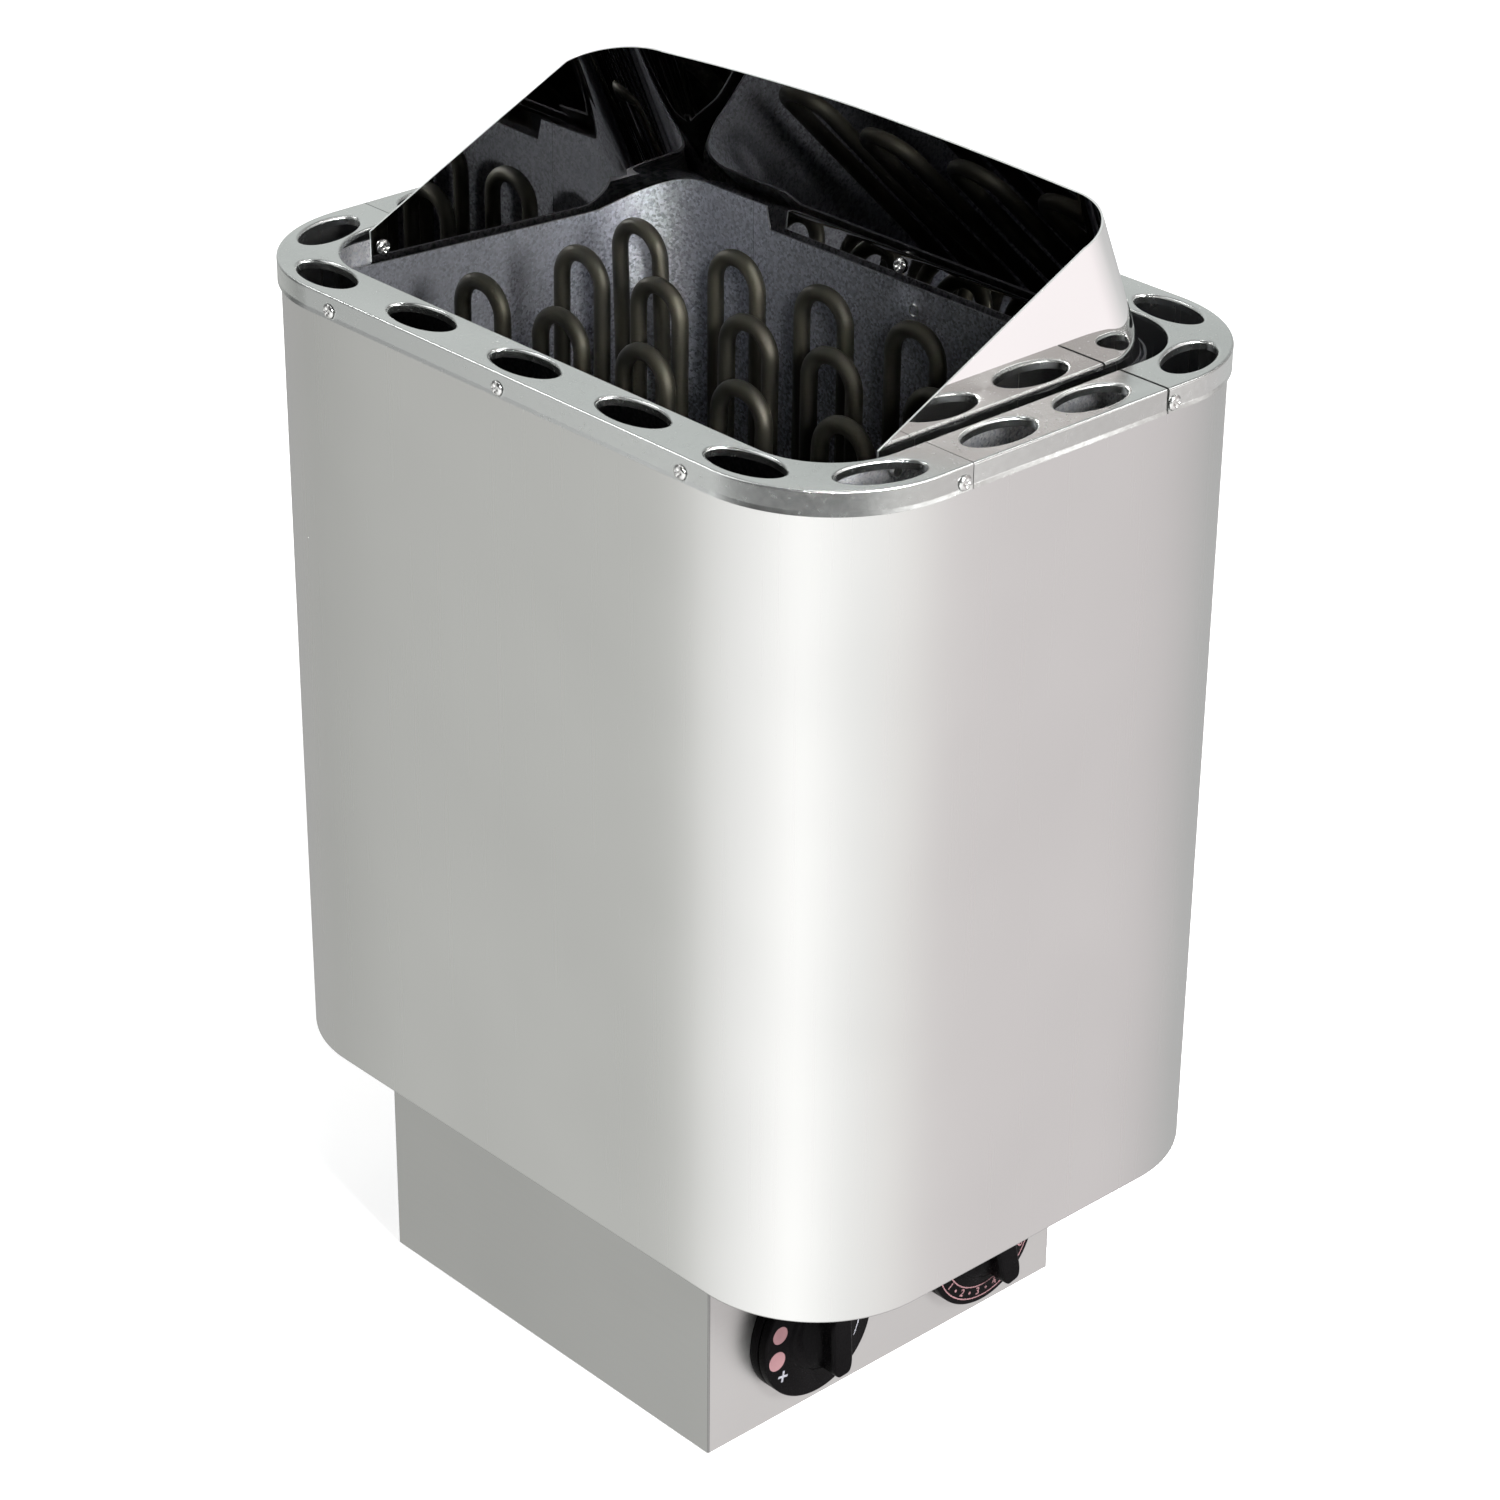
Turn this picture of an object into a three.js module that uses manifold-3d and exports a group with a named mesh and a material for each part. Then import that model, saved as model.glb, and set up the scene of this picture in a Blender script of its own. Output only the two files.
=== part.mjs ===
// Wall-hung electric sauna heater, millimetres, +Z up, front towards -Y, dials towards +X.
// z = 0 is the underside of the control box; x = 0 is the middle of the casing.
import * as THREE from 'three';
import { mergeVertices } from 'three/addons/utils/BufferGeometryUtils.js';
import Module from 'manifold-3d';

const wasm = await Module();
wasm.setup();

// Clearances
const GAP = 0.3; // between pieces that rest on each other
const BORE_GAP = 0.4; // round a pin or screw in its hole
const LIP_GAP = 0.8; // between the rim's lip and the casing

// Outer casing
const CASING_W = 410;
const CASING_D = 289;
const CASING_R = 68;
const CASING_LIFT = 110; // lower edge above the underside of the control box
const CASING_H = 416.4;
const CASING_SHEET = 1;
const CASING_HEM = 10; // fold turned inwards at the lower edge
const CORNER_STEPS = 7;

// Rim
const RIM_SHEET = 1;
const RIM_FLANGE = 29.5;
const RIM_LIP = 12;
const RIM_FOLD = 2.2; // radius of the fold between flange and lip
const REAR_SEAM = 1.5;
const FRONT_SEAM = 0.4;
const VENT_L = 41.5;
const VENT_W = 21.5;
const VENT_ROLL = 1.3; // rolled edge round each vent
const VENT_COLLAR = 4.4;
const VENT_INSET = 15.9; // vent centre line from the rim's outer edge
const VENT_SPREAD = [0, 0.357, 0.705, 1]; // places between the middle and the corner vent
const VENT_CORNER = 0.78; // corner vent, part of the way round the corner
const BRIDGE_WEB = 12.3; // between the two vents of a bridge
const SEAM_WEB = 9.4; // between a bridge vent and the seam
const VENT_SIDES = 12;

// Blind rivets of the rim
const FASTENER_SIDES = 6;
const RIVET_R = 1.7;
const RIVET_HEAD_R = 3.6;
const RIVET_HEAD_H = 1.6;
const RIVET_TAIL_R = 2.6;
const RIVET_TAIL_L = 3;
const RIVET_SINK = 0.5; // rivet tail below a vent collar
const RIVET_SPREAD = 0.88; // outer rivets along the straight part of the front
const RIVET_EDGE = 5; // from the seam

// Splash guard
const GUARD_SHEET = 1;
const GUARD_INSET = 33; // inner face of an arm from the casing's side
const GUARD_BACK_INSET = 42.6; // inner face of the back from the casing's rear
const GUARD_TIP_INSET = 62.5; // front end of an arm from the casing's front
const GUARD_R = 34.35;
const GUARD_TIP_RISE = 0.5; // top of the tip above the rim
const GUARD_SLOPE = 26.13; // degrees, upper edge of an arm
const GUARD_LEAN = 22.9; // degrees, back wall leaning forwards
const GUARD_CREASE = 7.1; // crease below the rim's top
const GUARD_SKIRT = 24; // lower edge below the rim's top
const GUARD_RISE = 72.87; // top of the back above the rim, in the middle
const GUARD_CROWN = 1.87; // fall of that edge, 100 mm from the middle
const GUARD_LEFT_DIP = 5; // left rear corner lower than the right one
const GUARD_TIP_R = 9;
const GUARD_CORNER_STEPS = 8;
const GUARD_BACK_STEPS = 10;
const GUARD_SCREW_IN = 7; // screw from the tip
const GUARD_SCREW_DROP = 9;
const GUARD_BACK_SCREW_DROP = 13;
const SCREW_R = 1.9;
const SCREW_HEAD_R = 3.8;
const SCREW_HEAD_H = 2;
const SCREW_TAIL_R = 2.9;
const SCREW_TAIL_L = 3;

// Heat shield, liner and base plate
const SHIELD_SHEET = 1;
const SHIELD_FRONT_INSET = 31.5; // inner face from the casing's front
const SHIELD_DROP = 4; // upper edge below the rim's top
const SHIELD_FRONT_R = 22;
const LINER_SHEET = 1;
const LINER_GAP = 4; // air gap between liner and guard at the sides
const LINER_FRONT_GAP = 7;
const LINER_BACK_GAP = 6.9;
const LINER_R = 40;
const LINER_DROP_FRONT = 12.9;
const LINER_DROP_REAR = 21;
const LINER_HUMP = 6; // raised rear corners, below the rim's top
const LINER_BACK_DROP = 17.5;
const LINER_WRAP = 72; // corner wrap along the back, from the side
const LINER_TAB = 8.5;
const DIMPLE_R = 14;
const DIMPLE_DEPTH = 2;
const DIMPLE_X = 14;
const DIMPLE_DROP = 31.5;
const BASE_SHEET = 1.5;
const BASE_EDGE = 8; // upturned edge
const SLOT_L = 50;
const SLOT_W = 8;
const RAIL_W = 20;
const RAIL_H = 18;
const RAIL_SHEET = 1.5;

// Heating elements
const TUBE_R = 4.1;
const LEG_PITCH = 29.6;
const LEGS = 10;
const ROW_FRONT_Y = -60;
const ROW_MIDDLE_Y = -1;
const ROW_REAR_Y = 50.3;
const LOOP_FLAT = 1.2; // straight between the two bends of a loop
const ELEMENT_DROP = 10; // top of the loops below the rim's top
const ELEMENT_FOOT = 25; // lower loops above the base plate
const TAIL_INSET = 16.5; // tails from the wall of the control box
const TAIL_L = 16; // bare end below the bush
const BUSH_R = 6.4;
const BUSH_FLANGE_R = 9.5;
const BUSH_FLANGE_H = 4;
const NUT_AF = 19;
const NUT_H = 7;
// How far the top of each loop stands off its row, across and in depth, from left to right.
const LOOP_SET = {
  front: [[2, 0], [0, 0], [-0.5, 0], [0.7, 4], [1, 10]],
  middle: [[5, 0], [1.5, 0], [4.5, 0], [-1, 1.5], [5, 3]],
  rear: [[-4.6, -6.6], [-1, 0], [0.5, 0], [2, 0.5], [2, 0]],
};
const TUBE_SIDES = 8;
const BEND_STEPS = 2;

// Control box
const BOX_W = 239;
const BOX_D = 234;
const BOX_SHIFT = -10; // box centre from the casing's centre
const BOX_SHEET = 1.2;
const BOX_R = 3;
const COVER_EDGE = 12;

// Dials
const DIAL_R = 35.2;
const DIAL_PITCH = 113.5;
const DIAL_SHIFT = 1.5; // middle of the two dials from the middle of the box
const DIAL_Z = 48.5;
const BEZEL_T = 5;
const DISC_T = 5.2;
const DIAL_GAP = 0.5;
const DIAL_SIDES = 28;
const HUB_R = 21;
const HUB_T = 2;
const GRIP_W = 13;
const GRIP_L = 37;
const GRIP_H = 17;
const GRIP_EASE = 1.3; // eased edge round the grip's top
const GRIP_STRAIGHT = 5; // straight flank under the eased edge
const GRIP_FLARE_W = 7.5; // how far the flanks sweep out to the hub
const GRIP_FLARE_L = 3.5;
const GRIP_SIDES = 16;
const GRIP_TURN = -87; // degrees from +Y towards +Z
const TIMER_LEAD = 10; // degrees the timer's grip stands ahead of the thermostat's
const SHAFT_R = 3;
const SHAFT_FLAT = 1.6; // flat of the shaft from its axis
const SWITCH_SIZE = 44;
const SWITCH_T = 40;
const SHAFT_IN = 24; // shaft inside the switch body
const SHAFT_OUT = 18; // shaft inside the dial, from the front of the bezel

// Limiter, sensors, terminals, gland
const LIMITER_X = -60;
const LIMITER_Y = 30;
const LIMITER_W = 36;
const LIMITER_H = 30;
const BUTTON_R = 4;
const BUTTON_FLANGE_R = 5.6;
const BUTTON_FLANGE_H = 2;
const BUTTON_TRAVEL = 2.5;
const BUTTON_RECESS = 0.6;
const BUTTON_L = 13;
const SENSOR_X = 60;
const CAPILLARY_R = 0.9;
const CAPILLARY_Z = 92;
const BULB_R = 2.4;
const BULB_L = 110;
const BULB_DROP = 60;
const TERMINAL_L = 70;
const TERMINAL_W = 24;
const TERMINAL_H = 26;
const TERMINAL_Y = 62;
const TERMINAL_WAYS = 5;
const GLAND_X = 20;
const GLAND_Z = 42;
const GLAND_R = 10;
const GLAND_BORE = 6.5;
const GLAND_OUT = 20;
const GLAND_IN = 12;
const GLAND_NUT_AF = 27;
const GLAND_NUT_H = 5;

// Wall bracket
const BRACKET_W = 240;
const BRACKET_DEPTH = 18;
const BRACKET_SHEET = 2;
const BRACKET_FOOT = 20;
const BRACKET_WEB = 84;
const BRACKET_DROP = 66; // top of the bracket below the rim's top
const BRACKET_SCREW_X = 90;

// Derived places
const RIM_TOP = CASING_LIFT + CASING_H + GAP + RIM_SHEET;
const RIM_OUT = LIP_GAP + RIM_SHEET;
const STRAIGHT_X = CASING_W / 2 - CASING_R;
const STRAIGHT_Y = CASING_D / 2 - CASING_R;
const BRIDGE_VENT_Y = BRIDGE_WEB / 2 + VENT_ROLL + VENT_L / 2;
const SEAM_Y = BRIDGE_VENT_Y + VENT_L / 2 + VENT_ROLL + SEAM_WEB;
const GUARD_X = CASING_W / 2 - GUARD_INSET;
const GUARD_Y = CASING_D / 2 - GUARD_BACK_INSET;
const GUARD_TIP_Y = GUARD_TIP_INSET - CASING_D / 2;
const SHIELD_X = GUARD_X + GUARD_SHEET + GAP;
const SHIELD_Y = GUARD_Y + GUARD_SHEET + GAP;
const SHIELD_FRONT_Y = SHIELD_FRONT_INSET - CASING_D / 2;
const SHIELD_R = GUARD_R + GUARD_SHEET + GAP;
const LINER_X = GUARD_X - LINER_GAP;
const LINER_Y = GUARD_Y - LINER_BACK_GAP;
const LINER_FRONT_Y = SHIELD_FRONT_Y + LINER_FRONT_GAP;
const RAIL_Z = CASING_LIFT + CASING_SHEET + GAP;
const BASE_Z = RAIL_Z + RAIL_H + GAP;
const FLOOR_Z = BASE_Z + BASE_SHEET + GAP;
const BOX_H = BASE_Z - GAP;
const BOX_Y1 = BOX_SHIFT + BOX_D / 2;
const TAIL_X = BOX_W / 2 - TAIL_INSET;
const ROWS = [ROW_FRONT_Y, ROW_MIDDLE_Y, ROW_REAR_Y];
const SENSOR_Y = LINER_Y + LINER_BACK_GAP / 2;
const DIAL_Y = [BOX_SHIFT + DIAL_SHIFT - DIAL_PITCH / 2, BOX_SHIFT + DIAL_SHIFT + DIAL_PITCH / 2];
const COVER_TOP = BOX_SHEET + GAP;
const FRONT_REACH = CASING_D / 2 + RIM_OUT + GAP + RIVET_HEAD_H;
const REAR_REACH = CASING_D / 2 + GAP + BRACKET_DEPTH;
const radians = THREE.MathUtils.degToRad;

const steel = { color: 0xc4c6c3, roughness: 0.28, metalness: 1 };
const mirror = { color: 0xd6d8d6, roughness: 0.06, metalness: 1 };
const zinc = { color: 0xb4b6b2, roughness: 0.45, metalness: 1 };
const oxide = { color: 0x4a4a44, roughness: 0.5, metalness: 0.8 };
const black = { color: 0x161616, roughness: 0.42, metalness: 0 };
const grey = { color: 0xb9b6ae, roughness: 0.55, metalness: 0 };
const copper = { color: 0xb87a4a, roughness: 0.35, metalness: 1 };
const red = { color: 0xb03028, roughness: 0.4, metalness: 0 };

const heater = new THREE.Group();
heater.name = 'sauna_heater';
heater.position.y = (FRONT_REACH - REAR_REACH) / 2;

// Closed body from rings of equal, even point counts.
function skin(rings, closed) {
  const count = rings[0].length;
  const points = rings.flat();
  const faces = [];
  const quad = (a, b, c, d) => faces.push([a, b, c], [a, c, d]);
  const spans = closed ? rings.length : rings.length - 1;
  for (let i = 0; i < spans; i += 1) {
    const here = i * count;
    const next = ((i + 1) % rings.length) * count;
    for (let j = 0; j < count; j += 1) {
      const k = (j + 1) % count;
      quad(here + j, next + j, next + k, here + k);
    }
  }
  if (!closed) {
    const last = (rings.length - 1) * count;
    for (let j = 0; j < count / 2 - 1; j += 1) {
      quad(j, j + 1, count - 2 - j, count - 1 - j);
      quad(last + count - 1 - j, last + count - 2 - j, last + j + 1, last + j);
    }
  }
  let volume = 0;
  for (const [a, b, c] of faces) {
    volume += points[a].dot(new THREE.Vector3().crossVectors(points[b], points[c]));
  }
  const order = volume < 0 ? faces.map(([a, b, c]) => [a, c, b]) : faces;
  const geometry = new THREE.BufferGeometry();
  geometry.setFromPoints(points);
  geometry.setIndex(order.flat());
  return geometry;
}

function toSolid(geometry) {
  const bare = geometry.clone();
  bare.deleteAttribute('normal');
  bare.deleteAttribute('uv');
  const welded = mergeVertices(bare, 1e-4);
  return new wasm.Manifold(new wasm.Mesh({
    numProp: 3,
    vertProperties: new Float32Array(welded.attributes.position.array),
    triVerts: new Uint32Array(welded.index.array),
  }));
}

function fromSolid(body) {
  const mesh = body.getMesh();
  const geometry = new THREE.BufferGeometry();
  geometry.setAttribute('position', new THREE.BufferAttribute(mesh.vertProperties, 3));
  geometry.setIndex(new THREE.BufferAttribute(mesh.triVerts, 1));
  return geometry;
}

const join = (...parts) => fromSolid(parts.map(toSolid).reduce((a, b) => a.add(b)));
const cut = (part, ...tools) => fromSolid(tools.map(toSolid).reduce((a, b) => a.subtract(b), toSolid(part)));
const common = (part, tool) => fromSolid(toSolid(part).intersect(toSolid(tool)));

function piece(name, geometry, look) {
  const shown = fromSolid(toSolid(geometry));
  shown.computeVertexNormals();
  const mesh = new THREE.Mesh(shown, new THREE.MeshStandardMaterial(look));
  mesh.name = name;
  heater.add(mesh);
}

function block(x0, x1, y0, y1, z0, z1) {
  const geometry = new THREE.BoxGeometry(x1 - x0, y1 - y0, z1 - z0);
  return geometry.translate((x0 + x1) / 2, (y0 + y1) / 2, (z0 + z1) / 2);
}

// Body turned about +Z; a profile with a bore runs all the way round its section.
function turned(profile, sides, bored) {
  const rings = profile.map(([r, z]) => {
    const ring = [];
    for (let i = 0; i < sides; i += 1) {
      const angle = ((i + 0.5) / sides) * Math.PI * 2;
      ring.push(new THREE.Vector3(r * Math.cos(angle), r * Math.sin(angle), z));
    }
    return ring;
  });
  return skin(rings, bored);
}

const rod = (r, z0, z1, sides) => turned([[r, z0], [r, z1]], sides, false);
const ring = (r0, r1, z0, z1, sides) => turned([[r0, z0], [r1, z0], [r1, z1], [r0, z1]], sides, true);
const hexRod = (flats, z0, z1) => rod(flats / Math.sqrt(3), z0, z1, 6);

// Turns a body made along +Z so that it points along +X, -X, +Y or -Y.
const alongX = (geometry) => geometry.rotateY(Math.PI / 2);
const alongMinusX = (geometry) => geometry.rotateY(-Math.PI / 2);
const alongY = (geometry) => geometry.rotateX(-Math.PI / 2);
const alongMinusY = (geometry) => geometry.rotateX(Math.PI / 2);

// Stations round a rounded rectangle, each with its outward normal.
function roundedOutline(width, depth, rearRadius, steps, middleY = 0, frontRadius = rearRadius) {
  const stations = [];
  for (let corner = 0; corner < 4; corner += 1) {
    const radius = corner < 2 ? rearRadius : frontRadius;
    const cx = (corner === 0 || corner === 3 ? 1 : -1) * (width / 2 - radius);
    const cy = (corner < 2 ? 1 : -1) * (depth / 2 - radius) + middleY;
    for (let step = 0; step <= steps; step += 1) {
      const angle = ((corner + step / steps) * Math.PI) / 2;
      const nx = Math.cos(angle);
      const ny = Math.sin(angle);
      stations.push({ x: cx + radius * nx, y: cy + radius * ny, nx, ny });
    }
  }
  return stations;
}

// Section of [outward offset, height] points carried round an outline.
function carried(stations, profile) {
  const rings = stations.map((s) => profile.map(
    ([out, z]) => new THREE.Vector3(s.x + s.nx * out, s.y + s.ny * out, z),
  ));
  return skin(rings, true);
}

const band = (stations, out0, out1, z0, z1) => carried(
  stations,
  [[out0, z0], [out1, z0], [out1, z1], [out0, z1]],
);

function prism(stations, out, z0, z1) {
  const shape = new THREE.Shape(stations.map((s) => new THREE.Vector2(s.x + s.nx * out, s.y + s.ny * out)));
  const geometry = new THREE.ExtrudeGeometry(shape, { depth: z1 - z0, bevelEnabled: false });
  return geometry.translate(0, 0, z0);
}

// Extrusion along +X of a shape drawn in (y, z).
function alongXShape(points, x0, x1) {
  const shape = new THREE.Shape(points.map(([y, z]) => new THREE.Vector2(y, z)));
  const geometry = new THREE.ExtrudeGeometry(shape, { depth: x1 - x0, bevelEnabled: false });
  geometry.applyMatrix4(new THREE.Matrix4().set(0, 0, 1, x0, 1, 0, 0, 0, 0, 1, 0, 0, 0, 0, 0, 1));
  return geometry;
}

// Extrusion along +Y of a shape drawn in (x, z).
function alongYShape(points, y0, y1) {
  const shape = new THREE.Shape(points.map(([x, z]) => new THREE.Vector2(x, z)));
  const geometry = new THREE.ExtrudeGeometry(shape, { depth: y1 - y0, bevelEnabled: false });
  geometry.rotateX(Math.PI / 2);
  return geometry.translate(0, y1, 0);
}

// Path through corner points with arcs at the corners.
function bentPath(points, radius, steps) {
  const path = [];
  const add = (p, t) => {
    const last = path[path.length - 1];
    if (!last || last.p.distanceTo(p) > 1e-3) path.push({ p, t });
  };
  const heading = (i) => points[i + 1].clone().sub(points[i]).normalize();
  add(points[0], heading(0));
  for (let i = 1; i < points.length - 1; i += 1) {
    const before = heading(i - 1);
    const after = heading(i);
    const turn = before.angleTo(after);
    const limit = Math.min(points[i].distanceTo(points[i - 1]), points[i].distanceTo(points[i + 1])) / 2;
    const bend = Math.min(radius, limit / Math.tan(turn / 2));
    const start = points[i].clone().addScaledVector(before, -bend * Math.tan(turn / 2));
    const side = after.clone().addScaledVector(before, -after.dot(before)).normalize();
    for (let step = 0; step <= steps; step += 1) {
      const angle = (turn * step) / steps;
      const p = start.clone().addScaledVector(before, bend * Math.sin(angle));
      p.addScaledVector(side, bend * (1 - Math.cos(angle)));
      const t = before.clone().multiplyScalar(Math.cos(angle)).addScaledVector(side, Math.sin(angle));
      add(p, t);
    }
  }
  add(points[points.length - 1], heading(points.length - 2));
  return path;
}

function tube(path, radiusAt, sides) {
  const across = new THREE.Vector3(0, 1, 0);
  if (Math.abs(path[0].t.y) > 0.9) across.set(1, 0, 0);
  let last = path[0].t;
  const rings = path.map(({ p, t }, index) => {
    across.applyQuaternion(new THREE.Quaternion().setFromUnitVectors(last, t));
    last = t;
    const other = new THREE.Vector3().crossVectors(t, across);
    const loop = [];
    for (let i = 0; i < sides; i += 1) {
      const angle = ((i + 0.5) / sides) * Math.PI * 2;
      const point = p.clone().addScaledVector(across, radiusAt(index) * Math.cos(angle));
      loop.push(point.addScaledVector(other, radiusAt(index) * Math.sin(angle)));
    }
    return loop;
  });
  return skin(rings, false);
}

const casingOutline = roundedOutline(CASING_W, CASING_D, CASING_R, CORNER_STEPS);

// Fasteners: head at the origin pointing along +Z, shank and set tail below.
function fastener(headR, headH, shankR, grip, tailR, tailL) {
  return turned([
    [tailR, -grip - tailL],
    [tailR, -grip],
    [shankR, -grip],
    [shankR, 0],
    [headR, 0],
    [headR * 0.5, headH],
  ], FASTENER_SIDES, false);
}

const rivetGrip = GAP + RIM_OUT + CASING_SHEET + GAP;
const rivetSeat = RIM_OUT + GAP;
const rivetZ = RIM_TOP - VENT_COLLAR - RIVET_SINK - RIVET_TAIL_R;
const rivetX = STRAIGHT_X * RIVET_SPREAD;
const rivetSideY = SEAM_Y + RIVET_EDGE;
const rivets = [];
[-rivetX, 0, rivetX].forEach((x, i) => {
  rivets.push({ name: `rim_rivet_front_${i + 1}`, x, y: -CASING_D / 2 - rivetSeat, aim: alongMinusY });
  rivets.push({ name: `rim_rivet_rear_${i + 1}`, x, y: CASING_D / 2 + rivetSeat, aim: alongY });
});
[-rivetSideY, rivetSideY].forEach((y, i) => {
  rivets.push({ name: `rim_rivet_left_${i + 1}`, x: -CASING_W / 2 - rivetSeat, y, aim: alongMinusX });
  rivets.push({ name: `rim_rivet_right_${i + 1}`, x: CASING_W / 2 + rivetSeat, y, aim: alongX });
});
const fastenerBore = (r, grip) => rod(r + BORE_GAP, -grip - 1, 1, FASTENER_SIDES);
const rivetHole = (r) => r.aim(fastenerBore(RIVET_R, rivetGrip)).translate(r.x, r.y, rivetZ);

const bracketTop = RIM_TOP - BRACKET_DROP;
const bracketZ = [
  bracketTop - BRACKET_FOOT / 2,
  bracketTop - BRACKET_FOOT * 1.5 - BRACKET_WEB,
];
const bracketScrews = [];
bracketZ.forEach((z, i) => [-BRACKET_SCREW_X, BRACKET_SCREW_X].forEach((x, j) => {
  bracketScrews.push({ name: `bracket_screw_${i * 2 + j + 1}`, x, z });
}));
const bracketSeat = CASING_D / 2 + GAP + BRACKET_SHEET + GAP;
const bracketGrip = CASING_SHEET + BRACKET_SHEET + 3 * GAP;
const bracketBore = () => alongY(fastenerBore(SCREW_R, bracketGrip));
const bracketHole = (s) => bracketBore().translate(s.x, bracketSeat, s.z);

// Outer casing: wrapped sheet with a hem turned in at the lower edge.
const casingTop = CASING_LIFT + CASING_H;
const casing = carried(casingOutline, [
  [0, CASING_LIFT],
  [0, casingTop],
  [-CASING_SHEET, casingTop],
  [-CASING_SHEET, CASING_LIFT + CASING_SHEET],
  [-CASING_HEM, CASING_LIFT + CASING_SHEET],
  [-CASING_HEM, CASING_LIFT],
]);
piece('outer_casing', cut(casing, ...rivets.map(rivetHole), ...bracketScrews.map(bracketHole)), steel);

// Rim: flange with a turned-down lip, cut into four pieces, oval vents with rolled edges.
const foldCut = RIM_FOLD * (1 - Math.SQRT1_2);
const rimRing = carried(casingOutline, [
  [RIM_OUT - RIM_FLANGE, RIM_TOP],
  [RIM_OUT - RIM_FLANGE, RIM_TOP - RIM_SHEET],
  [RIM_OUT - RIM_SHEET - RIM_FOLD * 0.3, RIM_TOP - RIM_SHEET],
  [RIM_OUT - RIM_SHEET, RIM_TOP - RIM_SHEET - RIM_FOLD * 0.3],
  [RIM_OUT - RIM_SHEET, RIM_TOP - RIM_LIP],
  [RIM_OUT, RIM_TOP - RIM_LIP],
  [RIM_OUT, RIM_TOP - RIM_FOLD],
  [RIM_OUT - foldCut, RIM_TOP - foldCut],
  [RIM_OUT - RIM_FOLD, RIM_TOP],
]);

// Places along the vent centre line, by distance from the middle of the front.
const ventR = CASING_R + RIM_OUT - VENT_INSET;
const ventCornerS = STRAIGHT_X + ventR * (Math.PI / 2) * VENT_CORNER;
function ventAt(distance) {
  const side = Math.sign(distance) || 1;
  const beyond = Math.max(0, Math.abs(distance) - STRAIGHT_X);
  const turn = beyond / ventR;
  const x = Math.min(Math.abs(distance), STRAIGHT_X) + ventR * Math.sin(turn);
  const y = -STRAIGHT_Y - ventR * Math.cos(turn);
  return { x: side * x, y, turn: side * turn };
}
const frontVents = VENT_SPREAD.flatMap((part) => (part === 0 ? [0] : [-part, part]))
  .map((part) => ventAt(part * ventCornerS));
const rearVents = frontVents.map((v) => ({ x: v.x, y: -v.y, turn: -v.turn }));
const bridgeX = STRAIGHT_X + ventR;
const bridgeVents = [-1, 1].map((s) => ({ x: bridgeX, y: s * BRIDGE_VENT_Y, turn: Math.PI / 2 }));

function ovalStations() {
  const stations = [];
  for (let i = 0; i < VENT_SIDES; i += 1) {
    const angle = ((i + 0.5) / VENT_SIDES) * Math.PI * 2;
    const normal = new THREE.Vector2(Math.cos(angle) / VENT_L, Math.sin(angle) / VENT_W).normalize();
    const x = (VENT_L / 2) * Math.cos(angle);
    const y = (VENT_W / 2) * Math.sin(angle);
    stations.push({ x, y, nx: normal.x, ny: normal.y });
  }
  return stations;
}
const oval = ovalStations();
const placed = (geometry, vent) => geometry.rotateZ(vent.turn).translate(vent.x, vent.y, 0);
const ventCut = (vent) => placed(prism(oval, VENT_ROLL + 0.2, RIM_TOP - 3, RIM_TOP + 1), vent);
const ventCollar = (vent) => placed(carried(oval, [
  [VENT_ROLL + 0.5, RIM_TOP],
  [VENT_ROLL, RIM_TOP],
  [0, RIM_TOP - VENT_ROLL],
  [0, RIM_TOP - VENT_COLLAR],
  [VENT_ROLL + 0.5, RIM_TOP - RIM_SHEET],
]), vent);

function rimPiece(zone, vents, holes) {
  const part = common(rimRing, zone);
  const pierced = cut(part, ...vents.map(ventCut));
  const collared = join(pierced, ...vents.map(ventCollar));
  return holes.length ? cut(collared, ...holes.map(rivetHole)) : collared;
}
const far = CASING_W + CASING_D;
const zoneZ = [RIM_TOP - 2 * RIM_LIP, RIM_TOP + RIM_LIP];
const frontEnd = -SEAM_Y;
const rearEnd = SEAM_Y + REAR_SEAM;
piece('rim_front', rimPiece(
  block(-far, far, -far, frontEnd, ...zoneZ),
  frontVents,
  rivets.filter((r) => r.y < frontEnd),
), steel);
piece('rim_rear', rimPiece(
  block(-far, far, rearEnd, far, ...zoneZ),
  rearVents,
  rivets.filter((r) => r.y > SEAM_Y),
), steel);
piece('rim_bridge_right', rimPiece(
  block(0, far, frontEnd + FRONT_SEAM, SEAM_Y, ...zoneZ),
  bridgeVents,
  [],
), steel);
piece('rim_bridge_left', rimPiece(
  block(-far, 0, frontEnd + FRONT_SEAM, SEAM_Y, ...zoneZ),
  bridgeVents.map((v) => ({ x: -v.x, y: v.y, turn: v.turn })),
  [],
), steel);
rivets.forEach((r) => {
  const body = fastener(RIVET_HEAD_R, RIVET_HEAD_H, RIVET_R, rivetGrip, RIVET_TAIL_R, RIVET_TAIL_L);
  piece(r.name, r.aim(body).translate(r.x, r.y, rivetZ), steel);
});

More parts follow.
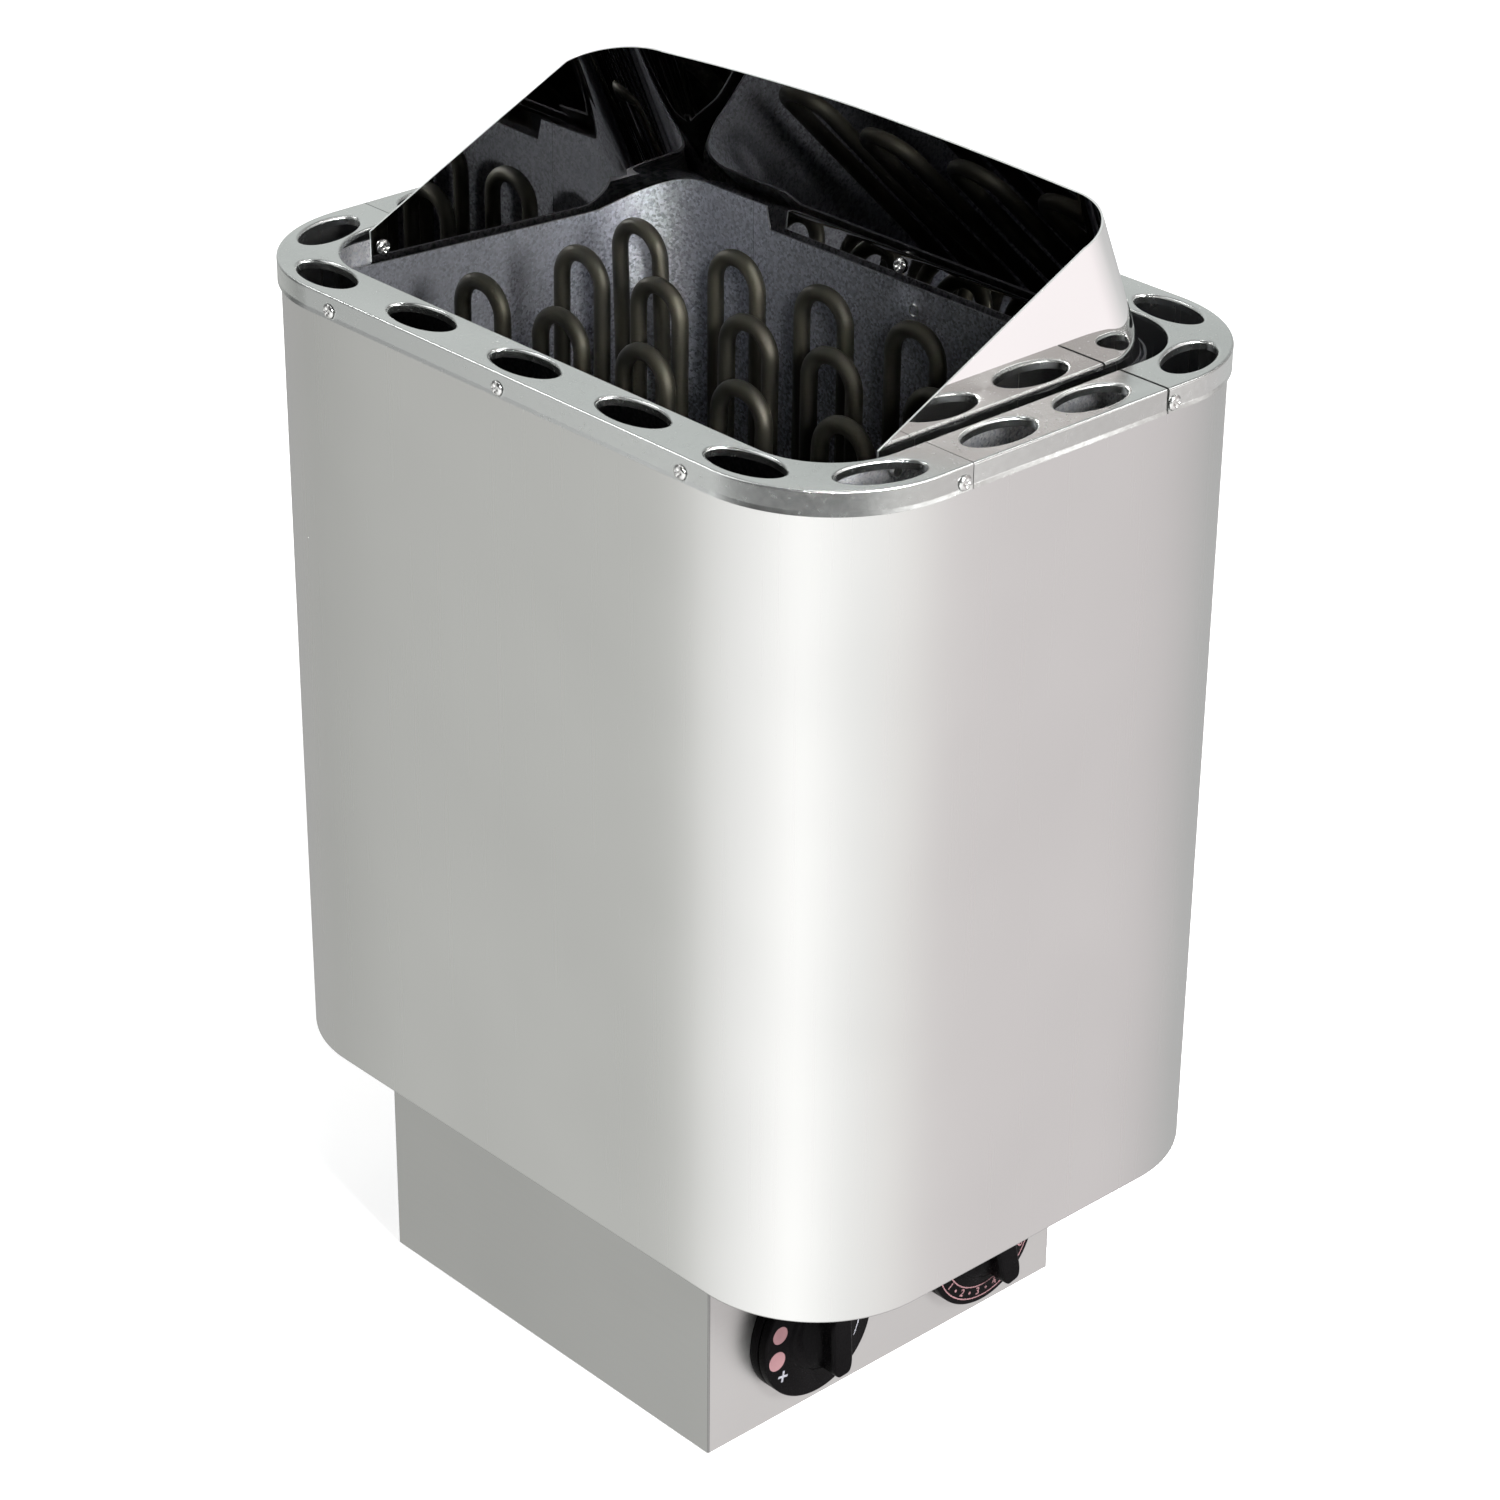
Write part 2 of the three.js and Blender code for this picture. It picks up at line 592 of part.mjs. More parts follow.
// Splash guard: arms, rolled corners and a back wall that leans forwards above its crease.
const lean = Math.tan(radians(GUARD_LEAN));
const slope = Math.tan(radians(GUARD_SLOPE));
const guardBackY = (z) => GUARD_Y - Math.max(0, z + GUARD_CREASE) * lean;
const guardBackTop = (x) => GUARD_RISE - GUARD_CROWN * (x / 100) ** 2;
const guardFlat = GUARD_X - GUARD_R;
const armTop = (() => {
  const run = GUARD_Y - GUARD_CREASE * lean - GUARD_R - GUARD_TIP_Y;
  return (GUARD_TIP_RISE + run * slope) / (1 + lean * slope);
})();
const guardColumns = [];
guardColumns.push({ top: GUARD_TIP_RISE, dip: 0, at: (z, out) => [GUARD_X + out, GUARD_TIP_Y] });
for (let i = 0; i <= GUARD_CORNER_STEPS; i += 1) {
  const part = i / GUARD_CORNER_STEPS;
  const angle = (part * Math.PI) / 2;
  const rise = guardBackTop(guardFlat) - armTop;
  guardColumns.push({
    top: armTop + rise * Math.sin(angle),
    dip: (1 + Math.sin(angle)) / 2,
    at: (z, out) => [
      guardFlat + (GUARD_R + out) * Math.cos(angle),
      guardBackY(z) - GUARD_R + (GUARD_R + out) * Math.sin(angle),
    ],
  });
}
for (let i = 1; i < GUARD_BACK_STEPS / 2; i += 1) {
  const x = guardFlat * (1 - (2 * i) / GUARD_BACK_STEPS);
  const dip = (x / guardFlat) ** 1.3;
  guardColumns.push({ top: guardBackTop(x), dip, at: (z, out) => [x, guardBackY(z) + out] });
}
const middleColumn = { top: GUARD_RISE, at: (z, out) => [0, guardBackY(z) + out] };
const mirrored = guardColumns.map((c) => ({
  top: c.top - GUARD_LEFT_DIP * c.dip,
  at: (z, out) => [-c.at(z, out)[0], c.at(z, out)[1]],
})).reverse();
const guardRings = [...guardColumns, middleColumn, ...mirrored].map((column) => {
  const heights = [-GUARD_SKIRT, -GUARD_CREASE, column.top];
  const spot = (z, out) => new THREE.Vector3(...column.at(z, out), RIM_TOP + z);
  const inner = heights.map((z) => spot(z, 0));
  const outer = heights.map((z) => spot(z, GUARD_SHEET)).reverse();
  return [...inner, ...outer];
});
const tipY = GUARD_TIP_Y;
const tipZ = RIM_TOP - GUARD_SKIRT;
const tipCorner = [[tipY - 1, tipZ - 1], [tipY + GUARD_TIP_R, tipZ - 1]];
for (let i = 0; i <= 4; i += 1) {
  const angle = (i / 4) * (Math.PI / 2);
  tipCorner.push([
    tipY + GUARD_TIP_R * (1 - Math.sin(angle)),
    tipZ + GUARD_TIP_R * (1 - Math.cos(angle)),
  ]);
}
tipCorner.push([tipY - 1, tipZ + GUARD_TIP_R]);
const guardGrip = GUARD_SHEET + SHIELD_SHEET + 3 * GAP;
const guardScrews = [
  {
    name: 'guard_screw_left',
    aim: alongX,
    at: [-GUARD_X + GAP, GUARD_TIP_Y + GUARD_SCREW_IN, RIM_TOP - GUARD_SCREW_DROP],
  },
  {
    name: 'guard_screw_right',
    aim: alongMinusX,
    at: [GUARD_X - GAP, GUARD_TIP_Y + GUARD_SCREW_IN, RIM_TOP - GUARD_SCREW_DROP],
  },
  {
    name: 'guard_screw_back',
    aim: alongMinusY,
    at: [0, GUARD_Y - GAP, RIM_TOP - GUARD_BACK_SCREW_DROP],
  },
];
const guardHole = (s) => s.aim(fastenerBore(SCREW_R, guardGrip)).translate(...s.at);
const guardSheet = skin(guardRings, false);
const tipCut = alongXShape(tipCorner, -far, far);
piece('splash_guard', cut(guardSheet, tipCut, ...guardScrews.map(guardHole)), mirror);
guardScrews.forEach((s) => {
  const body = fastener(SCREW_HEAD_R, SCREW_HEAD_H, SCREW_R, guardGrip, SCREW_TAIL_R, SCREW_TAIL_L);
  piece(s.name, s.aim(body).translate(...s.at), steel);
});

// Heat shield round the stone compartment.
const shieldMiddle = (SHIELD_Y + SHIELD_FRONT_Y) / 2;
const shieldOutline = roundedOutline(
  2 * SHIELD_X,
  SHIELD_Y - SHIELD_FRONT_Y,
  SHIELD_R,
  GUARD_CORNER_STEPS,
  shieldMiddle,
  SHIELD_FRONT_R,
);
const shield = band(shieldOutline, 0, SHIELD_SHEET, FLOOR_Z, RIM_TOP - SHIELD_DROP);
piece('heat_shield', cut(shield, ...guardScrews.map(guardHole)), zinc);

// Liner: two corner wraps, a back panel with raised tabs and a front panel.
const linerFlatY = LINER_Y - LINER_R;
const linerSeamX = LINER_X - LINER_WRAP;
const wrapFrontY = LINER_FRONT_Y + LINER_SHEET + GAP;
const riseStart = linerFlatY - 4;
const riseSpan = 4 + LINER_R * radians(78);
function linerTop(along) {
  const fall = (LINER_DROP_REAR - LINER_DROP_FRONT) / (linerFlatY - wrapFrontY);
  const straight = -LINER_DROP_FRONT - fall * (along - wrapFrontY);
  const part = THREE.MathUtils.smoothstep(along, riseStart, riseStart + riseSpan);
  return RIM_TOP + THREE.MathUtils.lerp(Math.max(straight, -LINER_DROP_REAR), -LINER_HUMP, part);
}
function linerWrap(side) {
  const stations = [];
  const add = (x, y, nx, ny, along) => {
    stations.push({ x: side * x, y, nx: side * nx, ny, top: linerTop(along) });
  };
  add(LINER_X, wrapFrontY, 1, 0, wrapFrontY);
  add(LINER_X, riseStart, 1, 0, riseStart);
  const steps = 12;
  for (let i = 0; i <= steps; i += 1) {
    const angle = ((i / steps) * Math.PI) / 2;
    const nx = Math.cos(angle);
    const ny = Math.sin(angle);
    add(LINER_X - LINER_R + LINER_R * nx, linerFlatY + LINER_R * ny, nx, ny, linerFlatY + LINER_R * angle);
  }
  add(linerSeamX, LINER_Y, 0, 1, far);
  const rings = stations.map((s) => [
    new THREE.Vector3(s.x, s.y, FLOOR_Z),
    new THREE.Vector3(s.x - s.nx * LINER_SHEET, s.y - s.ny * LINER_SHEET, FLOOR_Z),
    new THREE.Vector3(s.x - s.nx * LINER_SHEET, s.y - s.ny * LINER_SHEET, s.top),
    new THREE.Vector3(s.x, s.y, s.top),
  ]);
  return skin(rings, false);
}
piece('liner_left', linerWrap(-1), zinc);
piece('liner_right', linerWrap(1), zinc);
const backX = linerSeamX - GAP;
const backTop = RIM_TOP - LINER_BACK_DROP;
const tabTop = RIM_TOP - LINER_HUMP;
const tabX = backX - LINER_TAB;
const backPanel = alongYShape([
  [-backX, FLOOR_Z],
  [backX, FLOOR_Z],
  [backX, tabTop],
  [tabX, tabTop],
  [tabX - 3, backTop],
  [3 - tabX, backTop],
  [-tabX, tabTop],
  [-backX, tabTop],
], LINER_Y - LINER_SHEET, LINER_Y);
const dimpleAt = [DIMPLE_X, LINER_Y, RIM_TOP - DIMPLE_DROP];
const dish = (wall, back) => alongY(turned([
  [DIMPLE_R - wall, back],
  [DIMPLE_R - wall, wall - LINER_SHEET],
  [DIMPLE_R * 0.75 - wall * 0.6, wall - LINER_SHEET - DIMPLE_DEPTH * 0.2],
  [DIMPLE_R * 0.35 - wall * 0.4, wall - LINER_SHEET - DIMPLE_DEPTH],
], 16, false)).translate(...dimpleAt);
const backPressed = cut(join(backPanel, dish(0, -LINER_SHEET / 2)), dish(LINER_SHEET, LINER_SHEET));
piece('liner_back', backPressed, zinc);
piece('liner_front', block(
  -LINER_X + LINER_SHEET + GAP,
  LINER_X - LINER_SHEET - GAP,
  LINER_FRONT_Y,
  LINER_FRONT_Y + LINER_SHEET,
  FLOOR_Z,
  RIM_TOP - LINER_DROP_FRONT,
), zinc);

// Base plate: pan on two rails, air slots outside the control box, holes for bushes and capillaries.
const baseOut = SHIELD_SHEET + GAP;
const basePan = join(
  prism(shieldOutline, baseOut + BASE_SHEET, BASE_Z, BASE_Z + BASE_SHEET),
  band(shieldOutline, baseOut, baseOut + BASE_SHEET, BASE_Z + BASE_SHEET / 2, BASE_Z + BASE_EDGE),
);
const bushPlaces = ROWS.flatMap((y) => [[-TAIL_X, y], [TAIL_X, y]]);
const sensorPlaces = [[-SENSOR_X, SENSOR_Y], [SENSOR_X, SENSOR_Y]];
const railInner = SHIELD_X - RAIL_W + 4;
const slotX = (BOX_W / 2 + railInner) / 2;
const slots = [];
[-1, 1].forEach((side) => [-1, 0, 1].forEach((i) => [-0.5, 0.5].forEach((j) => {
  const x = side * slotX + j * SLOT_W * 1.8;
  const y = shieldMiddle + i * SLOT_L * 1.25;
  slots.push(block(x - SLOT_W / 2, x + SLOT_W / 2, y - SLOT_L / 2, y + SLOT_L / 2, BASE_Z - 1, FLOOR_Z + 1));
})));
const bushHole = (z0, z1) => ([x, y]) => rod(BUSH_R + BORE_GAP, z0, z1, TUBE_SIDES).translate(x, y, 0);
const sensorHole = (z0, z1) => ([x, y]) => rod(BULB_R + BORE_GAP, z0, z1, 6).translate(x, y, 0);
piece('base_plate', cut(
  basePan,
  ...slots,
  ...bushPlaces.map(bushHole(BASE_Z - 1, FLOOR_Z + 1)),
  ...sensorPlaces.map(sensorHole(BASE_Z - 1, FLOOR_Z + 1)),
), zinc);

const casingInside = prism(casingOutline, -CASING_SHEET - GAP, RAIL_Z - 1, BASE_Z + 1);
[['support_rail_left', -railInner - RAIL_W], ['support_rail_right', railInner]].forEach(([name, x0]) => {
  const x1 = x0 + RAIL_W;
  const top = RAIL_Z + RAIL_H;
  const rail = alongYShape([
    [x0, RAIL_Z],
    [x0 + RAIL_SHEET, RAIL_Z],
    [x0 + RAIL_SHEET, top - RAIL_SHEET],
    [x1 - RAIL_SHEET, top - RAIL_SHEET],
    [x1 - RAIL_SHEET, RAIL_Z],
    [x1, RAIL_Z],
    [x1, top],
    [x0, top],
  ], -CASING_D / 2, CASING_D / 2);
  piece(name, common(rail, casingInside), zinc);
});

// Heating elements: serpentine tubes with a threaded bush brazed on each tail.
const bend = (LEG_PITCH - LOOP_FLAT) / 2;
const loopTop = RIM_TOP - ELEMENT_DROP - TUBE_R;
const loopFoot = FLOOR_Z + ELEMENT_FOOT + TUBE_R;
const jogZ = FLOOR_Z + BUSH_FLANGE_H + TUBE_R + Math.min(bend, ELEMENT_FOOT / 2);
const bushEnd = BOX_H - BOX_SHEET - NUT_H - 4;
const tailEnd = bushEnd - TAIL_L;
function elementPath(row, y) {
  const legX = (i) => (i - (LEGS - 1) / 2) * LEG_PITCH;
  const corners = [[-TAIL_X, 0, tailEnd], [-TAIL_X, 0, jogZ], [legX(0), 0, jogZ]];
  for (let i = 0; i < LEGS; i += 2) {
    const [across, deep] = LOOP_SET[row][i / 2] || [0, 0];
    corners.push([legX(i) + across, deep, loopTop], [legX(i + 1) + across, deep, loopTop]);
    if (i + 2 < LEGS) corners.push([legX(i + 1), 0, loopFoot], [legX(i + 2), 0, loopFoot]);
  }
  corners.push([legX(LEGS - 1), 0, jogZ], [TAIL_X, 0, jogZ], [TAIL_X, 0, tailEnd]);
  return bentPath(corners.map(([x, d, z]) => new THREE.Vector3(x, y + d, z)), bend, BEND_STEPS);
}
const bush = () => turned([
  [BUSH_R, bushEnd],
  [BUSH_R, FLOOR_Z],
  [BUSH_FLANGE_R, FLOOR_Z],
  [BUSH_FLANGE_R, FLOOR_Z + BUSH_FLANGE_H],
], TUBE_SIDES, false);
['front', 'middle', 'rear'].forEach((row, i) => {
  const serpentine = tube(elementPath(row, ROWS[i]), () => TUBE_R, TUBE_SIDES);
  const bushes = [-TAIL_X, TAIL_X].map((x) => bush().translate(x, ROWS[i], 0));
  piece(`element_${row}`, join(serpentine, ...bushes), oxide);
  [['left', -TAIL_X], ['right', TAIL_X]].forEach(([side, x]) => {
    const top = BOX_H - BOX_SHEET - GAP;
    const thread = rod(BUSH_R + GAP, top - NUT_H - 1, top + 1, TUBE_SIDES);
    const nut = cut(hexRod(NUT_AF, top - NUT_H, top), thread);
    piece(`element_nut_${row}_${side}`, nut.translate(x, ROWS[i], 0), zinc);
  });
});

// Control box: folded shell open below, with a cover let in from underneath.
const boxOutline = roundedOutline(BOX_W, BOX_D, BOX_R, 3, BOX_SHIFT);
const wallX = BOX_W / 2;
const shaftHole = (y) => alongX(rod(SHAFT_R + BORE_GAP, -BOX_SHEET - 2, 2, 16)).translate(wallX, y, DIAL_Z);
const glandAt = (geometry) => alongY(geometry).translate(GLAND_X, BOX_Y1, GLAND_Z);
piece('control_box', cut(
  prism(boxOutline, 0, 0, BOX_H),
  prism(boxOutline, -BOX_SHEET, -1, BOX_H - BOX_SHEET),
  ...DIAL_Y.map(shaftHole),
  ...bushPlaces.map(bushHole(BOX_H - BOX_SHEET - 1, BOX_H + 1)),
  ...sensorPlaces.map(sensorHole(BOX_H - BOX_SHEET - 1, BOX_H + 1)),
  glandAt(rod(GLAND_R + BORE_GAP, -BOX_SHEET - 1, 1, 16)),
), steel);
const coverOut = -BOX_SHEET - GAP;
const coverTray = join(
  prism(boxOutline, coverOut, 0, BOX_SHEET),
  band(boxOutline, coverOut - BOX_SHEET, coverOut, BOX_SHEET / 2, COVER_EDGE),
);
const buttonHole = rod(BUTTON_R + BORE_GAP, -1, BOX_SHEET + 1, 16).translate(LIMITER_X, LIMITER_Y, 0);
piece('box_cover', cut(coverTray, buttonHole), steel);

// Dials: fixed bezel, turning disc with hub and bar grip, shaft with a flat, switch body behind the wall.
const bezelX = wallX + GAP;
const discX = bezelX + BEZEL_T + DIAL_GAP;
const shaftStart = -GAP - BOX_SHEET - GAP - SHAFT_IN;
const shaftStop = BEZEL_T + SHAFT_OUT;
function shaftRod(extra, z0, z1) {
  const wide = 2 * (SHAFT_R + extra);
  const flat = block(SHAFT_FLAT + extra, wide, -wide, wide, BEZEL_T + DIAL_GAP - GAP, z1 + wide);
  return cut(rod(SHAFT_R + extra, z0, z1, 16), flat);
}
function gripBar() {
  const foot = DISC_T * 0.5;
  const section = (w, l, z) => {
    const points = [];
    for (let i = 0; i < GRIP_SIDES; i += 1) {
      const angle = ((i + 0.5) / GRIP_SIDES) * Math.PI * 2;
      const end = Math.cos(angle) > 0 ? l / 2 - w / 2 : w / 2 - l / 2;
      points.push(new THREE.Vector3((w / 2) * Math.sin(angle), end + (w / 2) * Math.cos(angle), z));
    }
    return points;
  };
  const top = DISC_T + GRIP_H;
  const flareFoot = DISC_T + HUB_T / 2;
  const flareTop = top - GRIP_EASE - GRIP_STRAIGHT;
  const swept = (t) => section(
    GRIP_W + 2 * GRIP_FLARE_W * (1 - t) ** 2,
    GRIP_L + 2 * GRIP_FLARE_L * (1 - t) ** 2,
    flareFoot + (flareTop - flareFoot) * t,
  );
  return skin([
    section(GRIP_W + 2 * GRIP_FLARE_W, GRIP_L + 2 * GRIP_FLARE_L, foot),
    ...[0, 0.25, 0.5, 0.75, 1].map(swept),
    section(GRIP_W, GRIP_L, top - GRIP_EASE),
    section(GRIP_W - 2 * GRIP_EASE, GRIP_L - 2 * GRIP_EASE, top),
  ], false);
}
function dial(turn) {
  const disc = turned([
    [DIAL_R, 0],
    [DIAL_R, DISC_T - 1],
    [DIAL_R - 1, DISC_T],
  ], DIAL_SIDES, false);
  const hub = turned([
    [HUB_R, DISC_T * 0.5],
    [HUB_R, DISC_T],
    [HUB_R - 2, DISC_T + HUB_T],
  ], 16, false);
  const bar = gripBar().rotateZ(radians(turn));
  const bore = shaftRod(GAP, 0, shaftStop + GAP).translate(0, 0, -BEZEL_T - DIAL_GAP);
  return cut(join(disc, hub, bar), bore);
}
['thermostat', 'timer'].forEach((name, i) => {
  const onWall = (geometry, x) => alongX(geometry).translate(x, DIAL_Y[i], DIAL_Z);
  piece(`${name}_bezel`, onWall(turned([
    [SHAFT_R + BORE_GAP, 0],
    [DIAL_R, 0],
    [DIAL_R, BEZEL_T],
    [SHAFT_R + BORE_GAP, BEZEL_T],
  ], DIAL_SIDES, true), bezelX), black);
  piece(`${name}_knob`, onWall(dial(GRIP_TURN + i * TIMER_LEAD), discX), black);
  piece(`${name}_shaft`, onWall(shaftRod(0, shaftStart, shaftStop), bezelX), zinc);
  const bodyTop = wallX - BOX_SHEET - GAP;
  const half = SWITCH_SIZE / 2;
  const body = block(
    bodyTop - SWITCH_T,
    bodyTop,
    DIAL_Y[i] - half,
    DIAL_Y[i] + half,
    DIAL_Z - half,
    DIAL_Z + half,
  );
  const bore = onWall(rod(SHAFT_R + BORE_GAP, shaftStart - GAP, 1, 16), bezelX);
  piece(`${name}_body`, cut(body, bore), grey);
});

// Overheat limiter with a reset button that is reached through the cover.
const limiterBore = (r, z0, z1) => rod(r, z0, z1, 16).translate(LIMITER_X, LIMITER_Y, 0);
const chamberTop = COVER_TOP + GAP + BUTTON_FLANGE_H + BUTTON_TRAVEL + GAP;
piece('limiter_body', cut(
  block(
    LIMITER_X - LIMITER_W / 2,
    LIMITER_X + LIMITER_W / 2,
    LIMITER_Y - LIMITER_W / 2,
    LIMITER_Y + LIMITER_W / 2,
    COVER_TOP,
    COVER_TOP + LIMITER_H,
  ),
  limiterBore(BUTTON_FLANGE_R + BORE_GAP, COVER_TOP - 1, chamberTop),
  limiterBore(BUTTON_R + BORE_GAP, COVER_TOP, BUTTON_RECESS + BUTTON_L + BUTTON_TRAVEL + GAP),
), grey);
piece('reset_button', turned([
  [BUTTON_R - 0.6, BUTTON_RECESS],
  [BUTTON_R, BUTTON_RECESS + 0.6],
  [BUTTON_R, COVER_TOP],
  [BUTTON_FLANGE_R, COVER_TOP],
  [BUTTON_FLANGE_R, COVER_TOP + BUTTON_FLANGE_H],
  [BUTTON_R, COVER_TOP + BUTTON_FLANGE_H],
  [BUTTON_R, BUTTON_RECESS + BUTTON_L],
], 16, false).translate(LIMITER_X, LIMITER_Y, 0), red);

// Capillary sensors: bulb between back panel and guard, capillary down into the box.
function sensor(corners) {
  const bulbTop = RIM_TOP - BULB_DROP;
  const bulbFoot = bulbTop - BULB_L;
  const start = corners[0];
  const spot = (z) => new THREE.Vector3(start.x, start.y, z);
  const line = bentPath([spot(bulbFoot), ...corners.slice(1)], 6, 2);
  const down = new THREE.Vector3(0, 0, -1);
  const head = [bulbTop, bulbTop - BULB_R, bulbFoot + BULB_R].map((z) => ({ p: spot(z), t: down }));
  const radii = [BULB_R * 0.5, BULB_R, BULB_R];
  return tube([...head, ...line], (i) => (i < radii.length ? radii[i] : CAPILLARY_R), 6);
}
const bodyInner = wallX - BOX_SHEET - GAP - SWITCH_T;
const at = (x, y, z) => new THREE.Vector3(x, y, z);
piece('sensor_thermostat', sensor([
  at(SENSOR_X, SENSOR_Y, 0),
  at(SENSOR_X, SENSOR_Y, CAPILLARY_Z),
  at(SENSOR_X, DIAL_Y[0], CAPILLARY_Z),
  at(SENSOR_X, DIAL_Y[0], DIAL_Z),
  at(bodyInner - GAP, DIAL_Y[0], DIAL_Z),
]), copper);
piece('sensor_limiter', sensor([
  at(-SENSOR_X, SENSOR_Y, 0),
  at(-SENSOR_X, SENSOR_Y, CAPILLARY_Z),
  at(-SENSOR_X, LIMITER_Y, CAPILLARY_Z),
  at(-SENSOR_X, LIMITER_Y, COVER_TOP + LIMITER_H + GAP),
]), copper);

// Terminal block on the cover and cable gland in the rear wall.
const wayPitch = TERMINAL_L / TERMINAL_WAYS;
const wayHoles = [];
for (let i = 0; i < TERMINAL_WAYS; i += 1) {
  const x = GLAND_X + (i - (TERMINAL_WAYS - 1) / 2) * wayPitch;
  const hole = alongY(rod(wayPitch * 0.3, -TERMINAL_W, TERMINAL_W, 8));
  wayHoles.push(hole.translate(x, TERMINAL_Y, COVER_TOP + TERMINAL_H * 0.45));
}
piece('terminal_block', cut(block(
  GLAND_X - TERMINAL_L / 2,
  GLAND_X + TERMINAL_L / 2,
  TERMINAL_Y - TERMINAL_W / 2,
  TERMINAL_Y + TERMINAL_W / 2,
  COVER_TOP,
  COVER_TOP + TERMINAL_H,
), ...wayHoles), grey);
const glandFlange = GLAND_NUT_AF / 2;
piece('cable_gland', glandAt(turned([
  [GLAND_BORE, -BOX_SHEET - GLAND_IN],
  [GLAND_R, -BOX_SHEET - GLAND_IN],
  [GLAND_R, GAP],
  [glandFlange, GAP],
  [glandFlange, GAP + GLAND_OUT * 0.35],
  [glandFlange - 2, GAP + GLAND_OUT * 0.8],
  [GLAND_BORE + 1.5, GAP + GLAND_OUT],
  [GLAND_BORE, GAP + GLAND_OUT],
], 16, true)), black);
const glandNutTop = -BOX_SHEET - GAP;
piece('cable_gland_nut', glandAt(cut(
  hexRod(GLAND_NUT_AF, glandNutTop - GLAND_NUT_H, glandNutTop),
  rod(GLAND_R + GAP, glandNutTop - GLAND_NUT_H - 1, glandNutTop + 1, 16),
)), black);

// Wall bracket: hat section screwed to the back of the casing.
const footY = CASING_D / 2 + GAP;
const webY = footY + BRACKET_DEPTH;
const hatZ = [bracketTop, bracketTop - BRACKET_FOOT];
hatZ.push(hatZ[1] - BRACKET_WEB, hatZ[1] - BRACKET_WEB - BRACKET_FOOT);
const hat = alongXShape([
  [footY, hatZ[0]],
  [footY, hatZ[1]],
  [webY - BRACKET_SHEET, hatZ[1]],
  [webY - BRACKET_SHEET, hatZ[2]],
  [footY, hatZ[2]],
  [footY, hatZ[3]],
  [footY + BRACKET_SHEET, hatZ[3]],
  [footY + BRACKET_SHEET, hatZ[2] - BRACKET_SHEET],
  [webY, hatZ[2] - BRACKET_SHEET],
  [webY, hatZ[1] + BRACKET_SHEET],
  [footY + BRACKET_SHEET, hatZ[1] + BRACKET_SHEET],
  [footY + BRACKET_SHEET, hatZ[0]],
], -BRACKET_W / 2, BRACKET_W / 2);
piece('wall_bracket', cut(hat, ...bracketScrews.map(bracketHole)), zinc);
bracketScrews.forEach((s) => {
  const body = fastener(SCREW_HEAD_R, SCREW_HEAD_H, SCREW_R, bracketGrip, SCREW_TAIL_R, SCREW_TAIL_L);
  piece(s.name, alongY(body).translate(s.x, bracketSeat, s.z), zinc);
});

export default heater;
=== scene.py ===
"""Looks of a wall-hung electric sauna heater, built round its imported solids."""

import math

import bpy
import numpy as np
from bpy.props import FloatProperty, FloatVectorProperty, IntProperty, PointerProperty
from mathutils import Matrix, Vector
from mathutils.geometry import delaunay_2d_cdt


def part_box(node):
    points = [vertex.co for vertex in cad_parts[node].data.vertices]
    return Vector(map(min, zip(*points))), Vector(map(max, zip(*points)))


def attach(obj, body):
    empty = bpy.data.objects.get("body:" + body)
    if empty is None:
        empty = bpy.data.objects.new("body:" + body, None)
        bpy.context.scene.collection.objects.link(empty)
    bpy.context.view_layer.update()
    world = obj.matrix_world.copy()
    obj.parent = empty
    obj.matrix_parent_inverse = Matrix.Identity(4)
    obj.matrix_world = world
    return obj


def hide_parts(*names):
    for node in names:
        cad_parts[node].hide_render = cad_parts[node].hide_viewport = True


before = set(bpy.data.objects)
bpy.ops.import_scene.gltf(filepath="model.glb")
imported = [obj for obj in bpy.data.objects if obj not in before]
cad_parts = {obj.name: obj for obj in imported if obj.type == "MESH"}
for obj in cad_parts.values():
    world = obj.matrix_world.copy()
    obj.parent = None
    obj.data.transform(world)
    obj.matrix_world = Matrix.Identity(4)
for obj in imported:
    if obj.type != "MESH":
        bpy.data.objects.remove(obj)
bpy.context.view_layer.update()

bl_info = {
    "name": "Sauna heater",
    "version": (1, 0, 0),
    "blender": (4, 5, 0),
    "location": "3D View > Sidebar > Heater",
    "description": "Dresses the solids of a wall-hung sauna heater",
    "category": "Object",
}

MM = 0.001
CASING_LOW, CASING_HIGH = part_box("outer_casing")
BOX_LOW, BOX_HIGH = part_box("control_box")
SHIELD_LOW, SHIELD_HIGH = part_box("heat_shield")
LINER_LOW, LINER_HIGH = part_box("liner_left")
BACK_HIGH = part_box("liner_back")[1]
PLAN_Y = (CASING_LOW.y + CASING_HIGH.y) / 2
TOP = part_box("rim_front")[1].z
HALF_W = (CASING_HIGH.x - CASING_LOW.x) / 2
HALF_D = (CASING_HIGH.y - CASING_LOW.y) / 2


def length(name, text, default):
    """Length setting in metres."""
    return FloatProperty(name=name, description=text, default=default, unit="LENGTH", precision=4)


def angle_of(name, text, degrees):
    """Angle setting, its default given in degrees."""
    return FloatProperty(
        name=name, description=text, default=math.radians(degrees), subtype="ANGLE"
    )


def colour(name, text, default):
    """Colour setting."""
    return FloatVectorProperty(
        name=name, description=text, default=default, size=3, subtype="COLOR", min=0, max=1
    )


